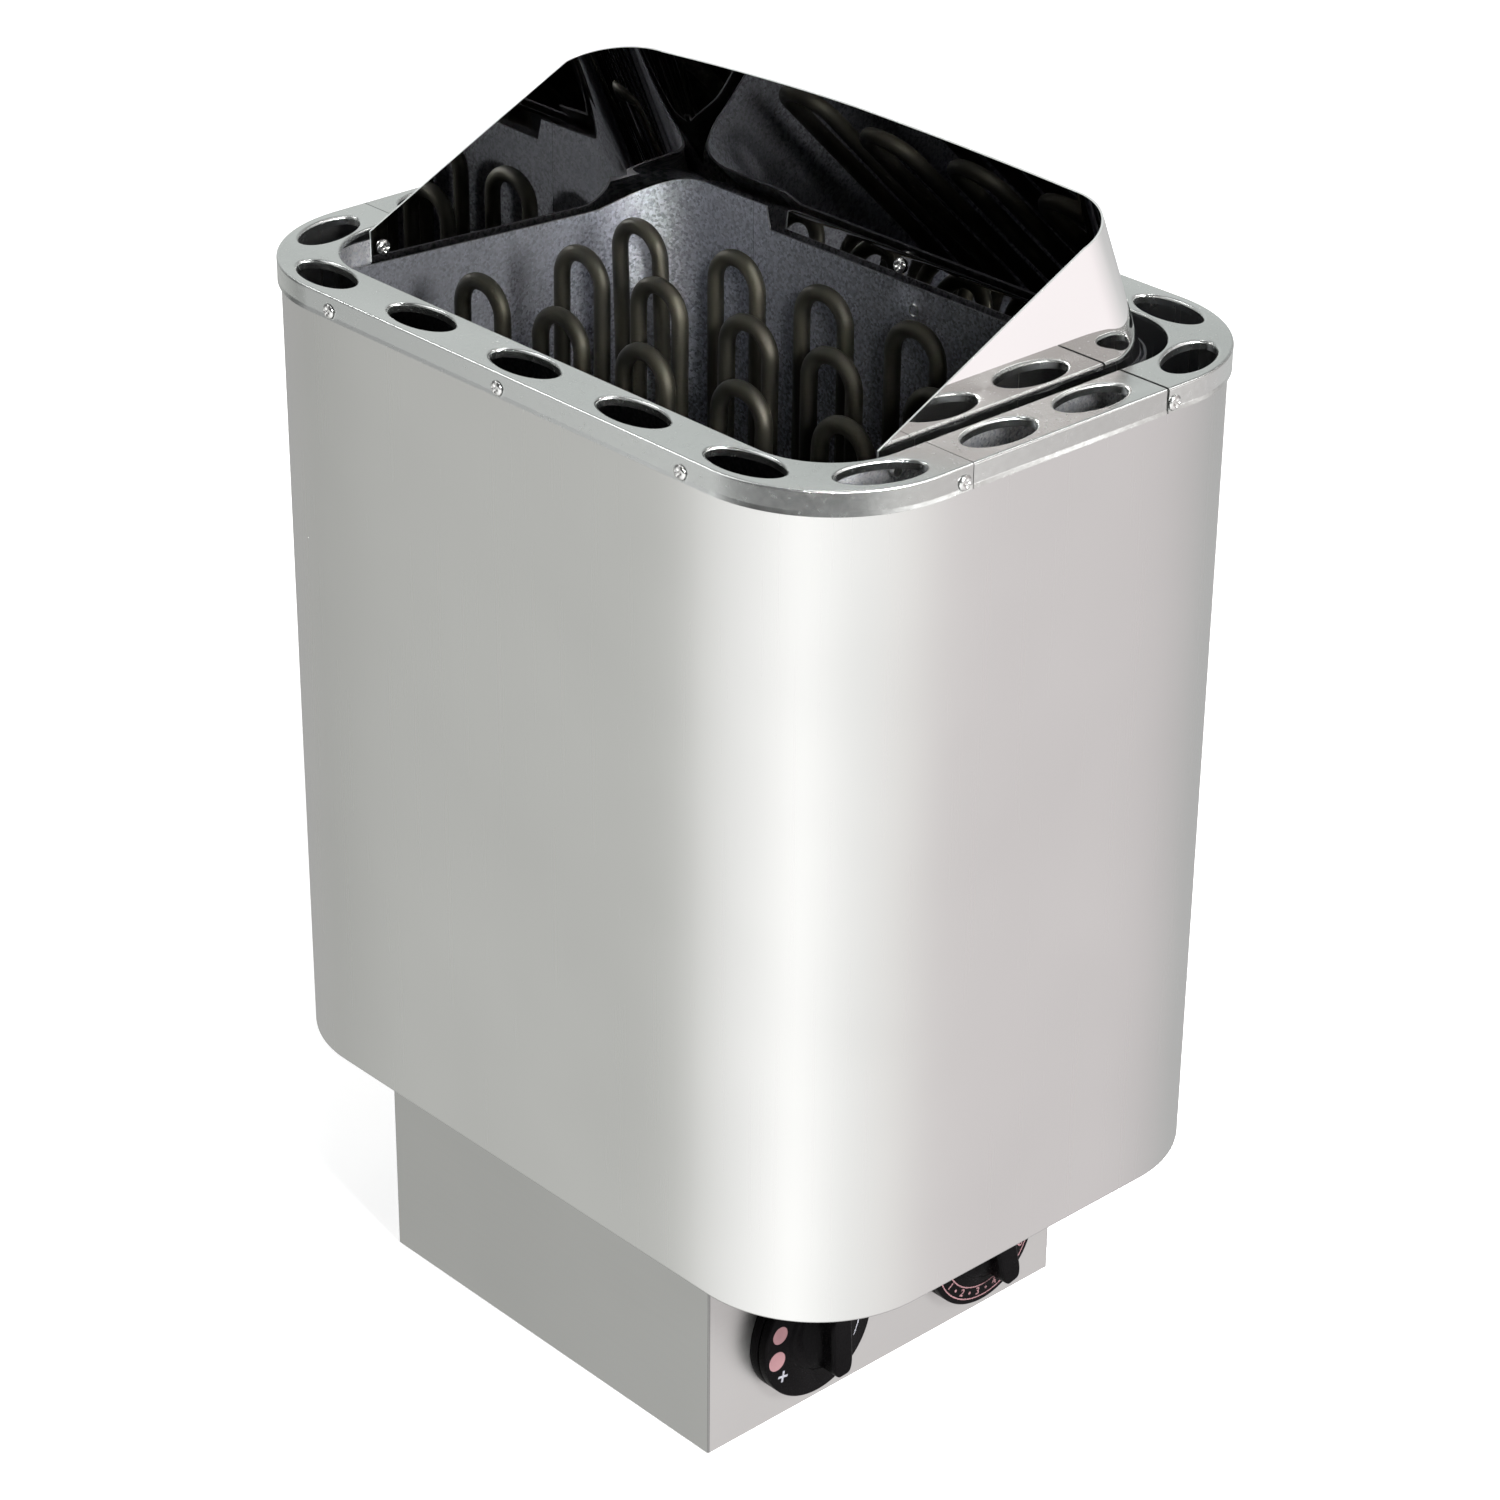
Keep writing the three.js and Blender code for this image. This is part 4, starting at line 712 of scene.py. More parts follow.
class HEATER_OT_rim(bpy.types.Operator):
    """Rim pieces: flange with rolled oval vents and a turned-down lip"""

    bl_idname = "heater.rim"
    bl_label = "Rim"

    SEAM_GAP = 1.5 * MM  # how far the rear piece stops short of the seam
    JOINT = 0.4 * MM  # open joint at the front end of a bridge
    BRIDGE_WEB = 12.3 * MM  # sheet between the rolled edges of a bridge's two vents
    BRIDGE_EDGE = 1.3 * MM  # width of a rolled edge beside that sheet
    VENT_SPREAD = (0, 0.357, -0.357, 0.705, -0.705, 1, -1)  # places along the centre line
    VENT_CORNER = 0.78  # how far round the corner the outermost vents are

    def execute(self, context):
        s = sizes()
        vents = self.front_vents()
        self.build("rim_front_sheet", self.path_u(s.seam), vents, ["rim_front"], 1)
        rear = self.path_u(s.seam + self.SEAM_GAP)
        self.build("rim_rear_sheet", rear, vents, ["rim_rear"], -1)
        ys = np.linspace(-s.seam + self.JOINT, s.seam, 25)
        line = np.column_stack((np.full(25, HALF_W), ys))
        out = np.tile((1.0, 0.0), (25, 1))
        y = s.vent_length / 2 + self.BRIDGE_EDGE + self.BRIDGE_WEB / 2
        x = HALF_W + s.overhang - s.vent_inset
        pair = [(x, -y, math.pi / 2), (x, y, math.pi / 2)]
        self.build("rim_bridge_right_sheet", (line, out), pair, ["rim_bridge_right"], 1)
        left = np.column_stack((-line[::-1, 0], line[::-1, 1]))
        mirrored = [(-a, b, c) for a, b, c in pair]
        self.build("rim_bridge_left_sheet", (left, -out), mirrored, ["rim_bridge_left"], 1)
        return {"FINISHED"}

    def path_u(self, seam):
        """Open outline of the front piece, from its left end round to its right end."""
        s = sizes()
        flat_x, flat_y = HALF_W - s.corner, HALF_D - s.corner
        points, normals = [], []

        def straight(spots, way):
            points.extend(spots)
            normals.extend([way] * len(spots))

        def bend(side, first):
            for k in range(33):
                a = math.radians(first + 90 * k / 32)
                way = (math.cos(a), math.sin(a))
                normals.append(way)
                points.append((side * flat_x + s.corner * way[0], -flat_y + s.corner * way[1]))

        ends = np.linspace(-seam, -flat_y, 6)
        straight([(-HALF_W, y) for y in ends[:-1]], (-1.0, 0.0))
        bend(-1, 180)
        straight([(x, -HALF_D) for x in np.linspace(-flat_x, flat_x, 33)[1:-1]], (0.0, -1.0))
        bend(1, 270)
        straight([(HALF_W, y) for y in ends[::-1][1:]], (1.0, 0.0))
        return np.array(points), np.array(normals)

    def front_vents(self):
        """Centres and directions of the front piece's vents along their centre line."""
        s = sizes()
        radius = s.corner + s.overhang - s.vent_inset
        flat = HALF_W - s.corner
        reach = flat + radius * math.pi / 2 * self.VENT_CORNER
        made = []
        for part in self.VENT_SPREAD:
            run = abs(part) * reach
            side = math.copysign(1, part)
            turn = max(0, run - flat) / radius
            x = min(run, flat) + radius * math.sin(turn)
            y = -(HALF_D - s.corner) - radius * math.cos(turn)
            made.append((side * x, y, side * turn))
        return made

    def build(self, name, path, vents, nodes, side):
        """One rim piece along a path, with its vents."""
        s = sizes()
        spots, outs = path
        rim = Pressing(s.rim_sheet)
        lip, turn_in = self.lip_section(), self.inner_section()
        rim.sweep(spots, outs, lip)
        self.calm(rim, outs, len(lip))
        rim.sweep(spots, outs, turn_in, flip=True)
        chain = lip[::-1] + turn_in
        rim.cap(spots[0], outs[0], chain, True)
        rim.cap(spots[-1], outs[-1], chain, False)
        holes = []
        for x, y, turn in vents:
            clear, ways = self.oval(x, y, turn)
            rim.sweep(clear, ways, self.vent_section(), flip=True, wrap=True)
            holes.append(clear + ways * s.vent_roll)
        border = np.concatenate((spots + outs * lip[0][0], (spots + outs * turn_in[0][0])[::-1]))
        rim.fill(border, holes, TOP)
        # the sheet's edges take a dark trim, a painted shadow line
        rim.piece(name, "rim_steel", nodes, "rim_steel", side, "rim_edge_painted_shade")

    def calm(self, rim, outs, rows):
        """Lets the curl of the lip's foot fade round the corners."""
        s = sizes()
        bend = np.abs(2 * outs[:, 0] * outs[:, 1]) ** 0.6
        tilt = s.lip_curl + (s.lip_lean - s.lip_curl) * bend
        way = np.column_stack((outs * np.cos(tilt)[:, None], np.sin(tilt)))
        for row in (rows - 2, rows - 1):
            rim.normals[row * len(outs):(row + 1) * len(outs)] = map(tuple, way)

    def lip_section(self):
        """Fold and lip from the flange's flat outwards and down, the lip's foot curled."""
        s = sizes()
        lean, curl = s.lip_lean, s.lip_curl
        hollow = 0.3 * MM
        section = []
        for k in range(9):
            a = math.radians(90 - 90 * k / 8)
            tilt = lean + (math.pi / 2 - lean) * (1 - k / 8)
            section.append((s.overhang - s.fold * (1 - math.cos(a)),
                            TOP - s.fold * (1 - math.sin(a)), math.cos(tilt), math.sin(tilt)))
        deep = s.lip - s.fold
        for part, tilt in ((0.3, lean), (0.6, lean), (0.77, lean), (0.82, curl), (1.0, curl)):
            section.append((s.overhang - hollow * part * (1 - part),
                            TOP - s.fold - deep * part, math.cos(tilt), math.sin(tilt)))
        return section

    def inner_section(self):
        """Rolled inner edge from the flange's flat inwards and down."""
        s = sizes()
        inner = s.overhang - s.flange
        ease, foot = 1.2 * MM, 2.6 * MM
        section = []
        for k in range(6):
            a = math.radians(90 + 18 * k)
            section.append((inner + ease * (1 + math.cos(a)), TOP - ease * (1 - math.sin(a)),
                            math.cos(a), math.sin(a)))
        section.append((inner, TOP - foot, -1.0, 0.0))
        return section

    def vent_section(self):
        """Rolled edge and collar of a vent, outwards measured from its clear oval."""
        s = sizes()
        section = []
        for k in range(8):
            a = math.radians(90 * k / 7)
            section.append((s.vent_roll * (1 - math.sin(a)), TOP - s.vent_roll * (1 - math.cos(a)),
                            -math.sin(a), math.cos(a)))
        section.append((0.0, TOP - s.vent_collar, -1.0, 0.0))
        return section

    def oval(self, x, y, turn):
        """Points of a vent's clear outline with their outward directions."""
        s = sizes()
        spots, ways = [], []
        spin = Matrix.Rotation(turn, 2)
        sides = 56
        for k in range(sides):
            a = 2 * math.pi * k / sides
            way = Vector((math.cos(a) / s.vent_length, math.sin(a) / s.vent_width)).normalized()
            spot = Vector((s.vent_length / 2 * math.cos(a), s.vent_width / 2 * math.sin(a)))
            spots.append(tuple(spin @ spot + Vector((x, y))))
            ways.append(tuple(spin @ way))
        return np.array(spots), np.array(ways)


class HEATER_OT_guard(bpy.types.Operator):
    """Mirror-polished splash guard"""

    bl_idname = "heater.guard"
    bl_label = "Splash guard"

    SHEET = 1 * MM
    CREASE = -7.1 * MM  # height of the back's crease above the rim
    SOFT = 1.6 * MM  # half the height of the bend at the crease
    TIP_RISE = 0.5 * MM  # top of an arm's tip above the rim
    TIP_ROUND = 9 * MM  # radius of an arm's lower front corner
    BOW = 1.87 * MM  # fall of the back's top edge at 100 mm from the middle

    def execute(self, context):
        points, faces, shading, broad = shell(self.rows()[::-1], self.SHEET)
        piece = new_piece(
            "guard_sheet", points, faces, "mirror_steel", ["splash_guard"],
            normals=shading, broad=broad, trim="guard_edge_painted_highlight",
        )
        mesh = piece.data
        mesh.materials.append(palette("zinc_edge_painted_shade"))
        mesh.materials.append(palette("guard_inside_painted_shade"))
        # edges facing down take the near-black trim, painted shade; the other edges keep the
        # near-white trim, a painted highlight
        for polygon in mesh.polygons[broad:]:
            if polygon.normal.z < 0:
                polygon.material_index = 2
        # the inner faces take a darker copy of the mirror steel, painted shade
        for polygon in mesh.polygons[:broad]:
            if polygon.normal.xy.dot(polygon.center.xy) < 0:
                polygon.material_index = 3
        return {"FINISHED"}

    def rows(self):
        """Points up the sheet, from the right arm's tip round the back to the left arm's tip."""
        right = self.columns()
        columns = [(spot, foot, top, 1) for spot, foot, top, _ in right]
        for spot, foot, top, share in right[-2::-1]:
            columns.append((spot, foot, top - sizes().guard_dip * share, -1))
        rows = []
        for spot, foot, top, side in columns:
            levels = [foot] + [self.CREASE + self.SOFT * k / 2 for k in range(-2, 3)]
            levels += list(np.linspace(self.CREASE + self.SOFT, top, 8)[1:])
            rows.append([(side * spot(z)[0], spot(z)[1], TOP + z) for z in levels])
        return rows

    def columns(self):
        """Right half: plan point by height, foot, top and share of the dip of each column."""
        s = sizes()
        low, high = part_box("splash_guard")
        arm = high.x - self.SHEET
        tip = low.y - PLAN_Y
        back = high.y - PLAN_Y - self.SHEET
        skirt = low.z - TOP
        lean, slope, tuck = (math.tan(v) for v in (s.guard_lean, s.guard_slope, s.guard_tuck))
        radius = s.guard_radius
        flat = arm - radius
        deep = back - radius - tip
        run = deep + self.CREASE * lean

        def back_y(z, tucked=0.0):
            """Rear plane: leans in above the crease and, where it is tucked, below it."""
            rise = z - self.CREASE
            if rise <= -self.SOFT:
                return back + rise * tucked
            if rise >= self.SOFT:
                return back - rise * lean
            above, below = rise + self.SOFT, rise - self.SOFT
            return back - (lean * above**2 + tucked * below**2) / (4 * self.SOFT)

        def arm_top(part):
            return (self.TIP_RISE + part * run * slope) / (1 + part * lean * slope)

        def crown(x):
            return s.guard_rise - self.BOW * (x / 0.1) ** 2

        def on_arm(part, foot):
            return (lambda z: (arm, tip + part * (back_y(z) - radius - tip)),
                    foot, arm_top(part), part / 2)

        def on_bend(part):
            c, q = math.cos(part * math.pi / 2), math.sin(part * math.pi / 2)
            tucked = tuck * max(0.0, 2 * part - 1) ** 2
            return (lambda z: (flat + radius * c, back_y(z, tucked) - radius + radius * q),
                    skirt, arm_top(1) + (crown(flat) - arm_top(1)) * q, (1 + q) / 2)

        def on_back(x):
            return lambda z: (x, back_y(z, tuck)), skirt, crown(x), (x / flat) ** 1.3

        made = []
        for k in range(7):
            a = math.radians(15 * k)
            part = self.TIP_ROUND * (1 - math.cos(a)) / deep
            made.append(on_arm(part, skirt + self.TIP_ROUND * (1 - math.sin(a))))
        made += [on_arm(further, skirt) for further in np.linspace(part, 1, 14)[1:-1]]
        made += [on_bend(k / 24) for k in range(25)]
        made += [on_back(flat * (1 - k / 12)) for k in range(1, 13)]
        return made


class HEATER_OT_liner(bpy.types.Operator):
    """Galvanised sheets of the stone compartment and the heat shield"""

    bl_idname = "heater.liner"
    bl_label = "Liner and shield"

    SHEET = 1 * MM

    def execute(self, context):
        floor = LINER_LOW.z
        rear_y = LINER_HIGH.y - PLAN_Y
        self.wrap("liner_left", -1, rear_y, floor)
        self.wrap("liner_right", 1, rear_y, floor)
        self.back(rear_y, floor)
        self.eyelet(rear_y)
        self.shield()
        for node in ("liner_front", "base_plate", "support_rail_left", "support_rail_right"):
            dress(node, "zinc_spangle")
        return {"FINISHED"}

    def sheet(self, node, rows, wrap=False):
        """Galvanised sheet behind a grid of points, and the count of its broad faces."""
        points, faces, shading, broad = shell(rows, self.SHEET, wrap)
        # the sheet's edges take a near-black trim, painted shade
        piece = new_piece(
            f"{node}_sheet", points, faces, "zinc_spangle", [node],
            normals=shading, broad=broad, trim="zinc_edge_painted_shade",
        )
        return piece.data, broad

    def top(self, along, front_y, flat_y):
        """Upper edge of a side: falls to the rear, then rises round the corner to the tab."""
        front_drop, rear_drop, tab_drop, lead = (v * MM for v in (12.9, 21.0, 6.0, 4.0))
        part = (along - front_y) / (flat_y - front_y)
        straight = max(-front_drop - (rear_drop - front_drop) * part, -rear_drop)
        span = lead + sizes().liner_radius * math.radians(78)
        t = min(1.0, max(0.0, (along - flat_y + lead) / span))
        t = t * t * (3 - 2 * t)
        return TOP + straight + (-tab_drop - straight) * t

    def wrap(self, node, side, rear_y, floor):
        """Side sheet that turns round a rear corner to its seam with the back panel."""
        radius = sizes().liner_radius
        side_x, seam_x = -LINER_LOW.x, -LINER_HIGH.x
        front_y, flat_y = LINER_LOW.y - PLAN_Y, rear_y - radius
        stations = [(side_x, y, y) for y in np.linspace(front_y, flat_y, 30)[:-1]]
        for k in range(33):
            a = math.radians(90 * k / 32)
            stations.append((side_x - radius + radius * math.cos(a),
                             flat_y + radius * math.sin(a), flat_y + radius * a))
        stations += [(x, rear_y, 1.0) for x in np.linspace(side_x - radius, seam_x, 6)[1:]]
        columns = []
        for x, y, along in stations:
            high = self.top(along, front_y, flat_y)
            levels = [floor, floor + 0.2, high - 0.03, high]
            columns.append([(side * x, y, z) for z in levels])
        self.sheet(node, columns[::side])

    def back(self, rear_y, floor):
        """Back panel with its end tabs and a pressed dish."""
        half = BACK_HIGH.x
        tab = half - 8.5 * MM
        low_top, high_top = TOP - 17.5 * MM, BACK_HIGH.z
        step, inset = 3 * MM, 5 * MM
        dish_x, dish_z, dish_r, dish_deep = 14 * MM, TOP - 31.5 * MM, 14 * MM, 1.6 * MM
        xs = [-half, -tab, -tab + step] + list(np.linspace(-tab + inset, tab - inset, 90))
        xs += [tab - step, tab, half]
        columns = []
        for x in xs:
            high = high_top if abs(x) >= tab - 1e-6 else low_top
            levels = [floor, floor + 0.18, TOP - 0.07] + list(np.linspace(TOP - 0.06, high, 26))
            column = []
            for z in levels:
                r = math.hypot(x - dish_x, z - dish_z) / dish_r
                push = dish_deep * (1 - r * r) ** 2 if r < 1 else 0.0
                column.append((x, rear_y - self.SHEET - push, z))
            columns.append(column)
        self.sheet("liner_back", columns)

    def eyelet(self, rear_y):
        """Small ring pressed into the back panel."""
        middle = Vector((17.6 * MM, rear_y - 2.3 * MM, TOP - 28.6 * MM))
        ring_r, wire_r = 2.9 * MM, 0.55 * MM
        rings = []
        for k in range(24):
            a = 2 * math.pi * k / 24
            out = Vector((math.cos(a), 0, math.sin(a)))
            ring = []
            for j in range(10):
                b = 2 * math.pi * j / 10
                spot = out * (ring_r + wire_r * math.cos(b)) + Vector((0, wire_r * math.sin(b), 0))
                ring.append(tuple(spot + middle))
            rings.append(ring)
        points = np.concatenate(rings)
        faces = strip(rings + rings[:1], wrap=True)
        faces = [tuple(i % len(points) for i in f) for f in faces]
        new_piece("liner_eyelet", points, faces, "fastener_steel", ())

    def shield(self):
        """Heat shield: its front painted in deep shade, its right side, which the vents there
        show, painted lighter as if lit.
        """
        low, high = SHIELD_LOW, SHIELD_HIGH
        rear, front = 36.65 * MM, 23 * MM
        half = high.x
        corners = (
            (half - front, low.y - PLAN_Y + front, -90, front),
            (half - rear, high.y - PLAN_Y - rear, 0, rear),
            (-half + rear, high.y - PLAN_Y - rear, 90, rear),
            (-half + front, low.y - PLAN_Y + front, 180, front),
        )
        plan = []
        for cx, cy, first, radius in corners:
            plan += arc((cx, cy), radius, first, first + 90, 20)
        end = 0.08
        levels = (high.z, high.z - end, low.z + end, low.z)
        rows = [[(x, y, z) for x, y in plan] for z in levels]
        mesh, broad = self.sheet("heat_shield", rows, True)
        mesh.materials.append(palette("zinc_painted_shade"))
        mesh.materials.append(palette("zinc_painted_light"))
        # faces to the front: painted shade; faces to the right: painted light
        for polygon in mesh.polygons[:broad]:
            if polygon.normal.y < -0.8:
                polygon.material_index = 2
            elif polygon.normal.x > 0.35:
                polygon.material_index = 3


class HEATER_OT_elements(bpy.types.Operator):
    """Serpentine heating elements with their bushes and nuts"""

    bl_idname = "heater.elements"
    bl_label = "Heating elements"

    # How far the top of each loop stands off its row, across and in depth, in millimetres
    LOOP_SET = {
        "front": ((2, 0), (0, 0), (-0.5, 0), (0.7, 4), (1, 10)),
        "middle": ((5, 0), (1.5, 0), (4.5, 0), (-1, 1.5), (5, 3)),
        "rear": ((-4.6, -6.6), (-1, 0), (0.5, 0), (2, 0.5), (2, 0)),
    }
    SIDES = 18
    SEAT = 1.8 * MM  # seat of the bushes above the base plate's underside
    FOOT = 25 * MM  # underside of the lower bends above the seat
    JOG = 16.5 * MM  # underside of the cross runs to the tails above the seat
    BEND_EASE = 1.2 * MM  # how much narrower than the pitch a bend is
    STEM = 6.4 * MM  # radius of a bush below its collar
    STEM_FOOT = 16 * MM  # foot of a bush above the tube's end
    COLLAR = ((9.3, 0), (9.5, 0.3), (9.5, 3.6), (9.1, 4))  # radius and rise, in millimetres

    def execute(self, context):
        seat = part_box("base_plate")[0].z + self.SEAT
        for row in self.LOOP_SET:
            node = f"element_{row}"
            low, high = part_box(node)
            nut_low, nut_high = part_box(f"element_nut_{row}_right")
            tail = (nut_low.x + nut_high.x) / 2
            y = (nut_low.y + nut_high.y) / 2 - PLAN_Y
            self.tube(row, tail, y, seat, low.z, high.z)
            profile = [(self.STEM, low.z + self.STEM_FOOT), (self.STEM, seat)]
            profile += [(r * MM, seat + rise * MM) for r, rise in self.COLLAR]
            for x, side in ((-tail, "left"), (tail, "right")):
                spots, sides = turned(profile, 24)
                new_piece(
                    f"{node}_bush_{side}", spots + np.array((x, y, 0)), sides, "zinc_plate",
                    (),
                )
                dress(f"element_nut_{row}_{side}", "zinc_plate", 0.4 * MM)
        return {"FINISHED"}

    def tube(self, row, tail, y, seat, low_z, high_z):
        """Tube of an element, up from one tail, through the loops and down to the other."""
        s = sizes()
        top = high_z - s.tube
        foot = seat + self.FOOT + s.tube
        jog = seat + self.JOG + s.tube
        legs = [(i - (s.legs - 1) / 2) * s.pitch for i in range(s.legs)]
        corners = [(-tail, 0, low_z), (-tail, 0, jog), (legs[0], 0, jog)]
        for i in range(0, s.legs, 2):
            across, deep = (v * MM for v in self.LOOP_SET[row][i // 2])
            corners += [(x + across, deep, top) for x in legs[i:i + 2]]
            if i + 2 < s.legs:
                corners += [(x, 0, foot) for x in legs[i + 1:i + 3]]
        corners += [(legs[-1], 0, jog), (tail, 0, jog), (tail, 0, low_z)]
        bend = (s.pitch - self.BEND_EASE) / 2
        path, tangents = bent_path([(x, y + d, z) for x, d, z in corners], bend, 9)
        rings = tube_rings(path, tangents, s.tube, self.SIDES)
        points = np.vstack((np.concatenate(rings), path[0], path[-1]))
        faces = flipped(strip(rings, wrap=True))
        cap = len(points) - 2
        last = cap - self.SIDES
        for k in range(self.SIDES):
            n = (k + 1) % self.SIDES
            faces += [(cap, n, k), (cap + 1, last + k, last + n)]
        node = f"element_{row}"
        new_piece(f"{node}_tube", points, faces, "element_sheath", [node])


class HEATER_OT_control_box(bpy.types.Operator):
    """Control box shell and its cover"""

    bl_idname = "heater.control_box"
    bl_label = "Control box"

    def execute(self, context):
        s = sizes()
        middle = (BOX_LOW.y + BOX_HIGH.y) / 2 - PLAN_Y
        points, normals = rounded_plan(
            BOX_HIGH.x, (BOX_HIGH.y - BOX_LOW.y) / 2, s.box_edge, 6, 4, middle
        )
        sheet, ledge, ease = 1.2 * MM, 6 * MM, 0.4 * MM
        section = [(-sheet, 0.0)] + arc((-ease, ease), ease, -90, 0, 3)
        section += arc((-s.box_edge, BOX_HIGH.z - s.box_edge), s.box_edge, 0, 90, 5)
        section += [(-ledge, BOX_HIGH.z)]
        rows = carried(points, normals, section)
        flat = np.concatenate(rows)
        faces = flipped(strip(rows, wrap=True))
        last = len(flat) - len(points)
        faces.append(tuple(range(last, last + len(points))))
        piece = new_piece(
            "control_box_shell", flat, faces, "box_steel", ["control_box"]
        )
        even_normals(piece)
        piece.data.materials.append(palette("box_side_painted_light"))
        piece.data.materials.append(palette("box_bend_painted_shade"))
        # sides facing left and right take a lighter copy of the steel, painted light; the corner
        # bends take a darker copy, painted shade
        for polygon in piece.data.polygons:
            x, y, _ = (abs(c) for c in polygon.normal)
            polygon.material_index = 2 if min(x, y) > 0.05 else int(x > 0.7)
        dress("box_cover", "box_steel", 0.3 * MM)
        return {"FINISHED"}


class HEATER_OT_dials(bpy.types.Operator):
    """Dials with grips and printed scales, and their bezels"""

    bl_idname = "heater.dials"
    bl_label = "Dials"

    SIDES = 96
    DISC = 5.2 * MM  # thickness of a dial's disc
    HUB = ((20.4, 0), (19.9, 0.3), (19.2, 1.4), (18.6, 1.8), (17, 1.9))  # radius and rise, in mm
    GRIP_TURN = {"thermostat": -87, "timer": -77}  # way the grip points, in degrees
    INK = 0.06 * MM  # thickness of the print
    RINGS = ((25.3, 26.0), (31.7, 32.4))  # edges of the scale rings, in millimetres
    HOUR_RADIUS = 28.8  # middle of the hours' scale, in millimetres
    HOUR_FIRST, HOUR_STEP = -144.4, 23.4  # in degrees

    def execute(self, context):
        for name in ("thermostat", "timer"):
            low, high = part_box(f"{name}_knob")
            y = (low.y + high.y) / 2 - PLAN_Y
            z = (low.z + high.z) / 2
            bezel_low, bezel_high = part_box(f"{name}_bezel")
            self.bezel(name, (bezel_low.x, y, z), bezel_high.x - bezel_low.x)
            self.disc(name, (low.x, y, z))
            face = (low.x + self.DISC, y, z)
            self.grip(name, face, high.x - face[0])
            if name == "thermostat":
                self.dot("thermostat_print_1", 28.0, -169.7, 5.2, face)
                self.dot("thermostat_print_2", 27.3, 160.2, 4.7, face)
                self.cross("thermostat_print_3", 28.3, -146.6, face)
                self.wedge("thermostat_print_4", -30, 118, face)
            else:
                self.hours(name, face)
            dress(f"{name}_shaft", "zinc_plate")
            dress(f"{name}_body", "switch_pale", 0.8 * MM)
        return {"FINISHED"}

    def on_wall(self, points, place):
        """Dial coordinates (right, up, out) seen from the front, placed on the wall."""
        p = np.asarray(points)
        x, y, z = place
        return np.column_stack((x + p[:, 2], y + p[:, 0], z + p[:, 1]))

    def mark(self, name, points, faces, ink, place):
        """Printed mark that turns with its dial."""
        body = name.split("_")[0] + "_dial"
        new_piece(name, self.on_wall(points, place), faces, ink, (), body)

    def bezel(self, name, place, thick):
        """Fixed ring behind a dial, its front edge eased."""
        r = sizes().dial
        profile = [(r, 0), (r, thick - 0.7 * MM), (r - 0.2 * MM, thick - 0.25 * MM),
                   (r - 0.7 * MM, thick)]
        points, faces = turned(profile, self.SIDES)
        new_piece(
            f"{name}_bezel_ring", self.on_wall(points, place), faces, "dial_black",
            [f"{name}_bezel"],
        )

    def disc(self, name, place):
        """Disc with a rounded edge and a raised hub."""
        r, t, edge, ease = sizes().dial, self.DISC, 1 * MM, 0.6 * MM
        profile = [(r - ease, 0), (r, ease)] + arc((r - edge, t - edge), edge, 0, 90, 4)
        profile += [(radius * MM, t + rise * MM) for radius, rise in self.HUB]
        points, faces = turned(profile, self.SIDES)
        new_piece(
            f"{name}_dial_disc", self.on_wall(points, place), faces, "dial_black",
            [f"{name}_knob"], f"{name}_dial",
        )

    def grip(self, name, place, high):
        """Bar grip: hollow flanks that sweep out to the hub, eased top edge."""
        s = sizes()
        ease, straight, stretch = 1.8 * MM, 5 * MM, 3.5 * MM
        sunk, foot = 0.2 * MM, 0.9 * MM
        flare_top = high - ease - straight
        stages = [(s.grip_flare, stretch, sunk)]
        for k in range(13):
            part = k / 12
            spread = (1 - part) ** 2.2
            level = foot + (flare_top - foot) * part
            stages.append((s.grip_flare * spread, stretch * spread, level))
        for k in range(7):
            a = math.radians(15 * k)
            draw = -ease * (1 - math.cos(a))
            stages.append((draw, draw, high - ease * (1 - math.sin(a))))
        rows = []
        for wider, longer, level in stages:
            half_w, half_l = s.grip_width / 2 + wider, s.grip_length / 2 + longer
            corner = min(half_w, 0.8 * half_w + 1.2 * wider + 0.1 * MM)
            outline = self.bar(half_w, half_l, max(corner, 1.5 * MM))
            rows.append([(u, v, level) for u, v in outline])
        points = spun(np.concatenate(rows), math.radians(self.GRIP_TURN[name] - 90))
        faces = flipped(strip(rows, wrap=True))
        faces.append(tuple(range(len(points) - len(rows[0]), len(points))))
        piece = new_piece(
            f"{name}_dial_grip", self.on_wall(points, place), faces, "dial_black", (),
            f"{name}_dial", sharp=60,
        )
        even_normals(piece)

    def bar(self, half_w, half_l, corner):
        """Outline of a bar whose ends are drawn to a rounded tip."""
        tip = min(2 * corner, 0.97 * half_l)
        made = []
        for cx, cy, first in ((1, 1, 0), (-1, 1, 90), (-1, -1, 180), (1, -1, 270)):
            for k in range(13):
                a = math.radians(first + 7.5 * k)
                made.append((cx * (half_w - corner) + corner * math.cos(a),
                             cy * (half_l - tip) + tip * math.sin(a)))
            if cx * cy > 0:
                continue
            for k in (0.25, 0.5, 0.75):
                made.append((cx * half_w, cy * (half_l - tip) * (1 - 2 * k)))
        return made

    def wedge(self, name, first, last, place):
        """Printed arc that widens along the dial."""
        middle, start, growth = 27.0, 0.25, 1.3
        rows = []
        for side in (-1, 1):
            row = []
            for k in range(49):
                part = k / 48
                a = math.radians(first + (last - first) * part)
                r = (middle + side * (start + growth * part)) * MM
                row.append((r * math.cos(a), r * math.sin(a), self.INK))
            rows.append(row)
        self.mark(name, np.concatenate(rows), flipped(strip(rows)), "print_white", place)

    def dot(self, name, radius, angle, size, place):
        """Printed dot; radius and size in millimetres."""
        a = math.radians(angle)
        points, faces = turned([(size * MM, 0), (size * MM, self.INK)], 40)
        points = points + np.array((radius * MM * math.cos(a), radius * MM * math.sin(a), 0))
        self.mark(name, points, faces, "print_rose", place)

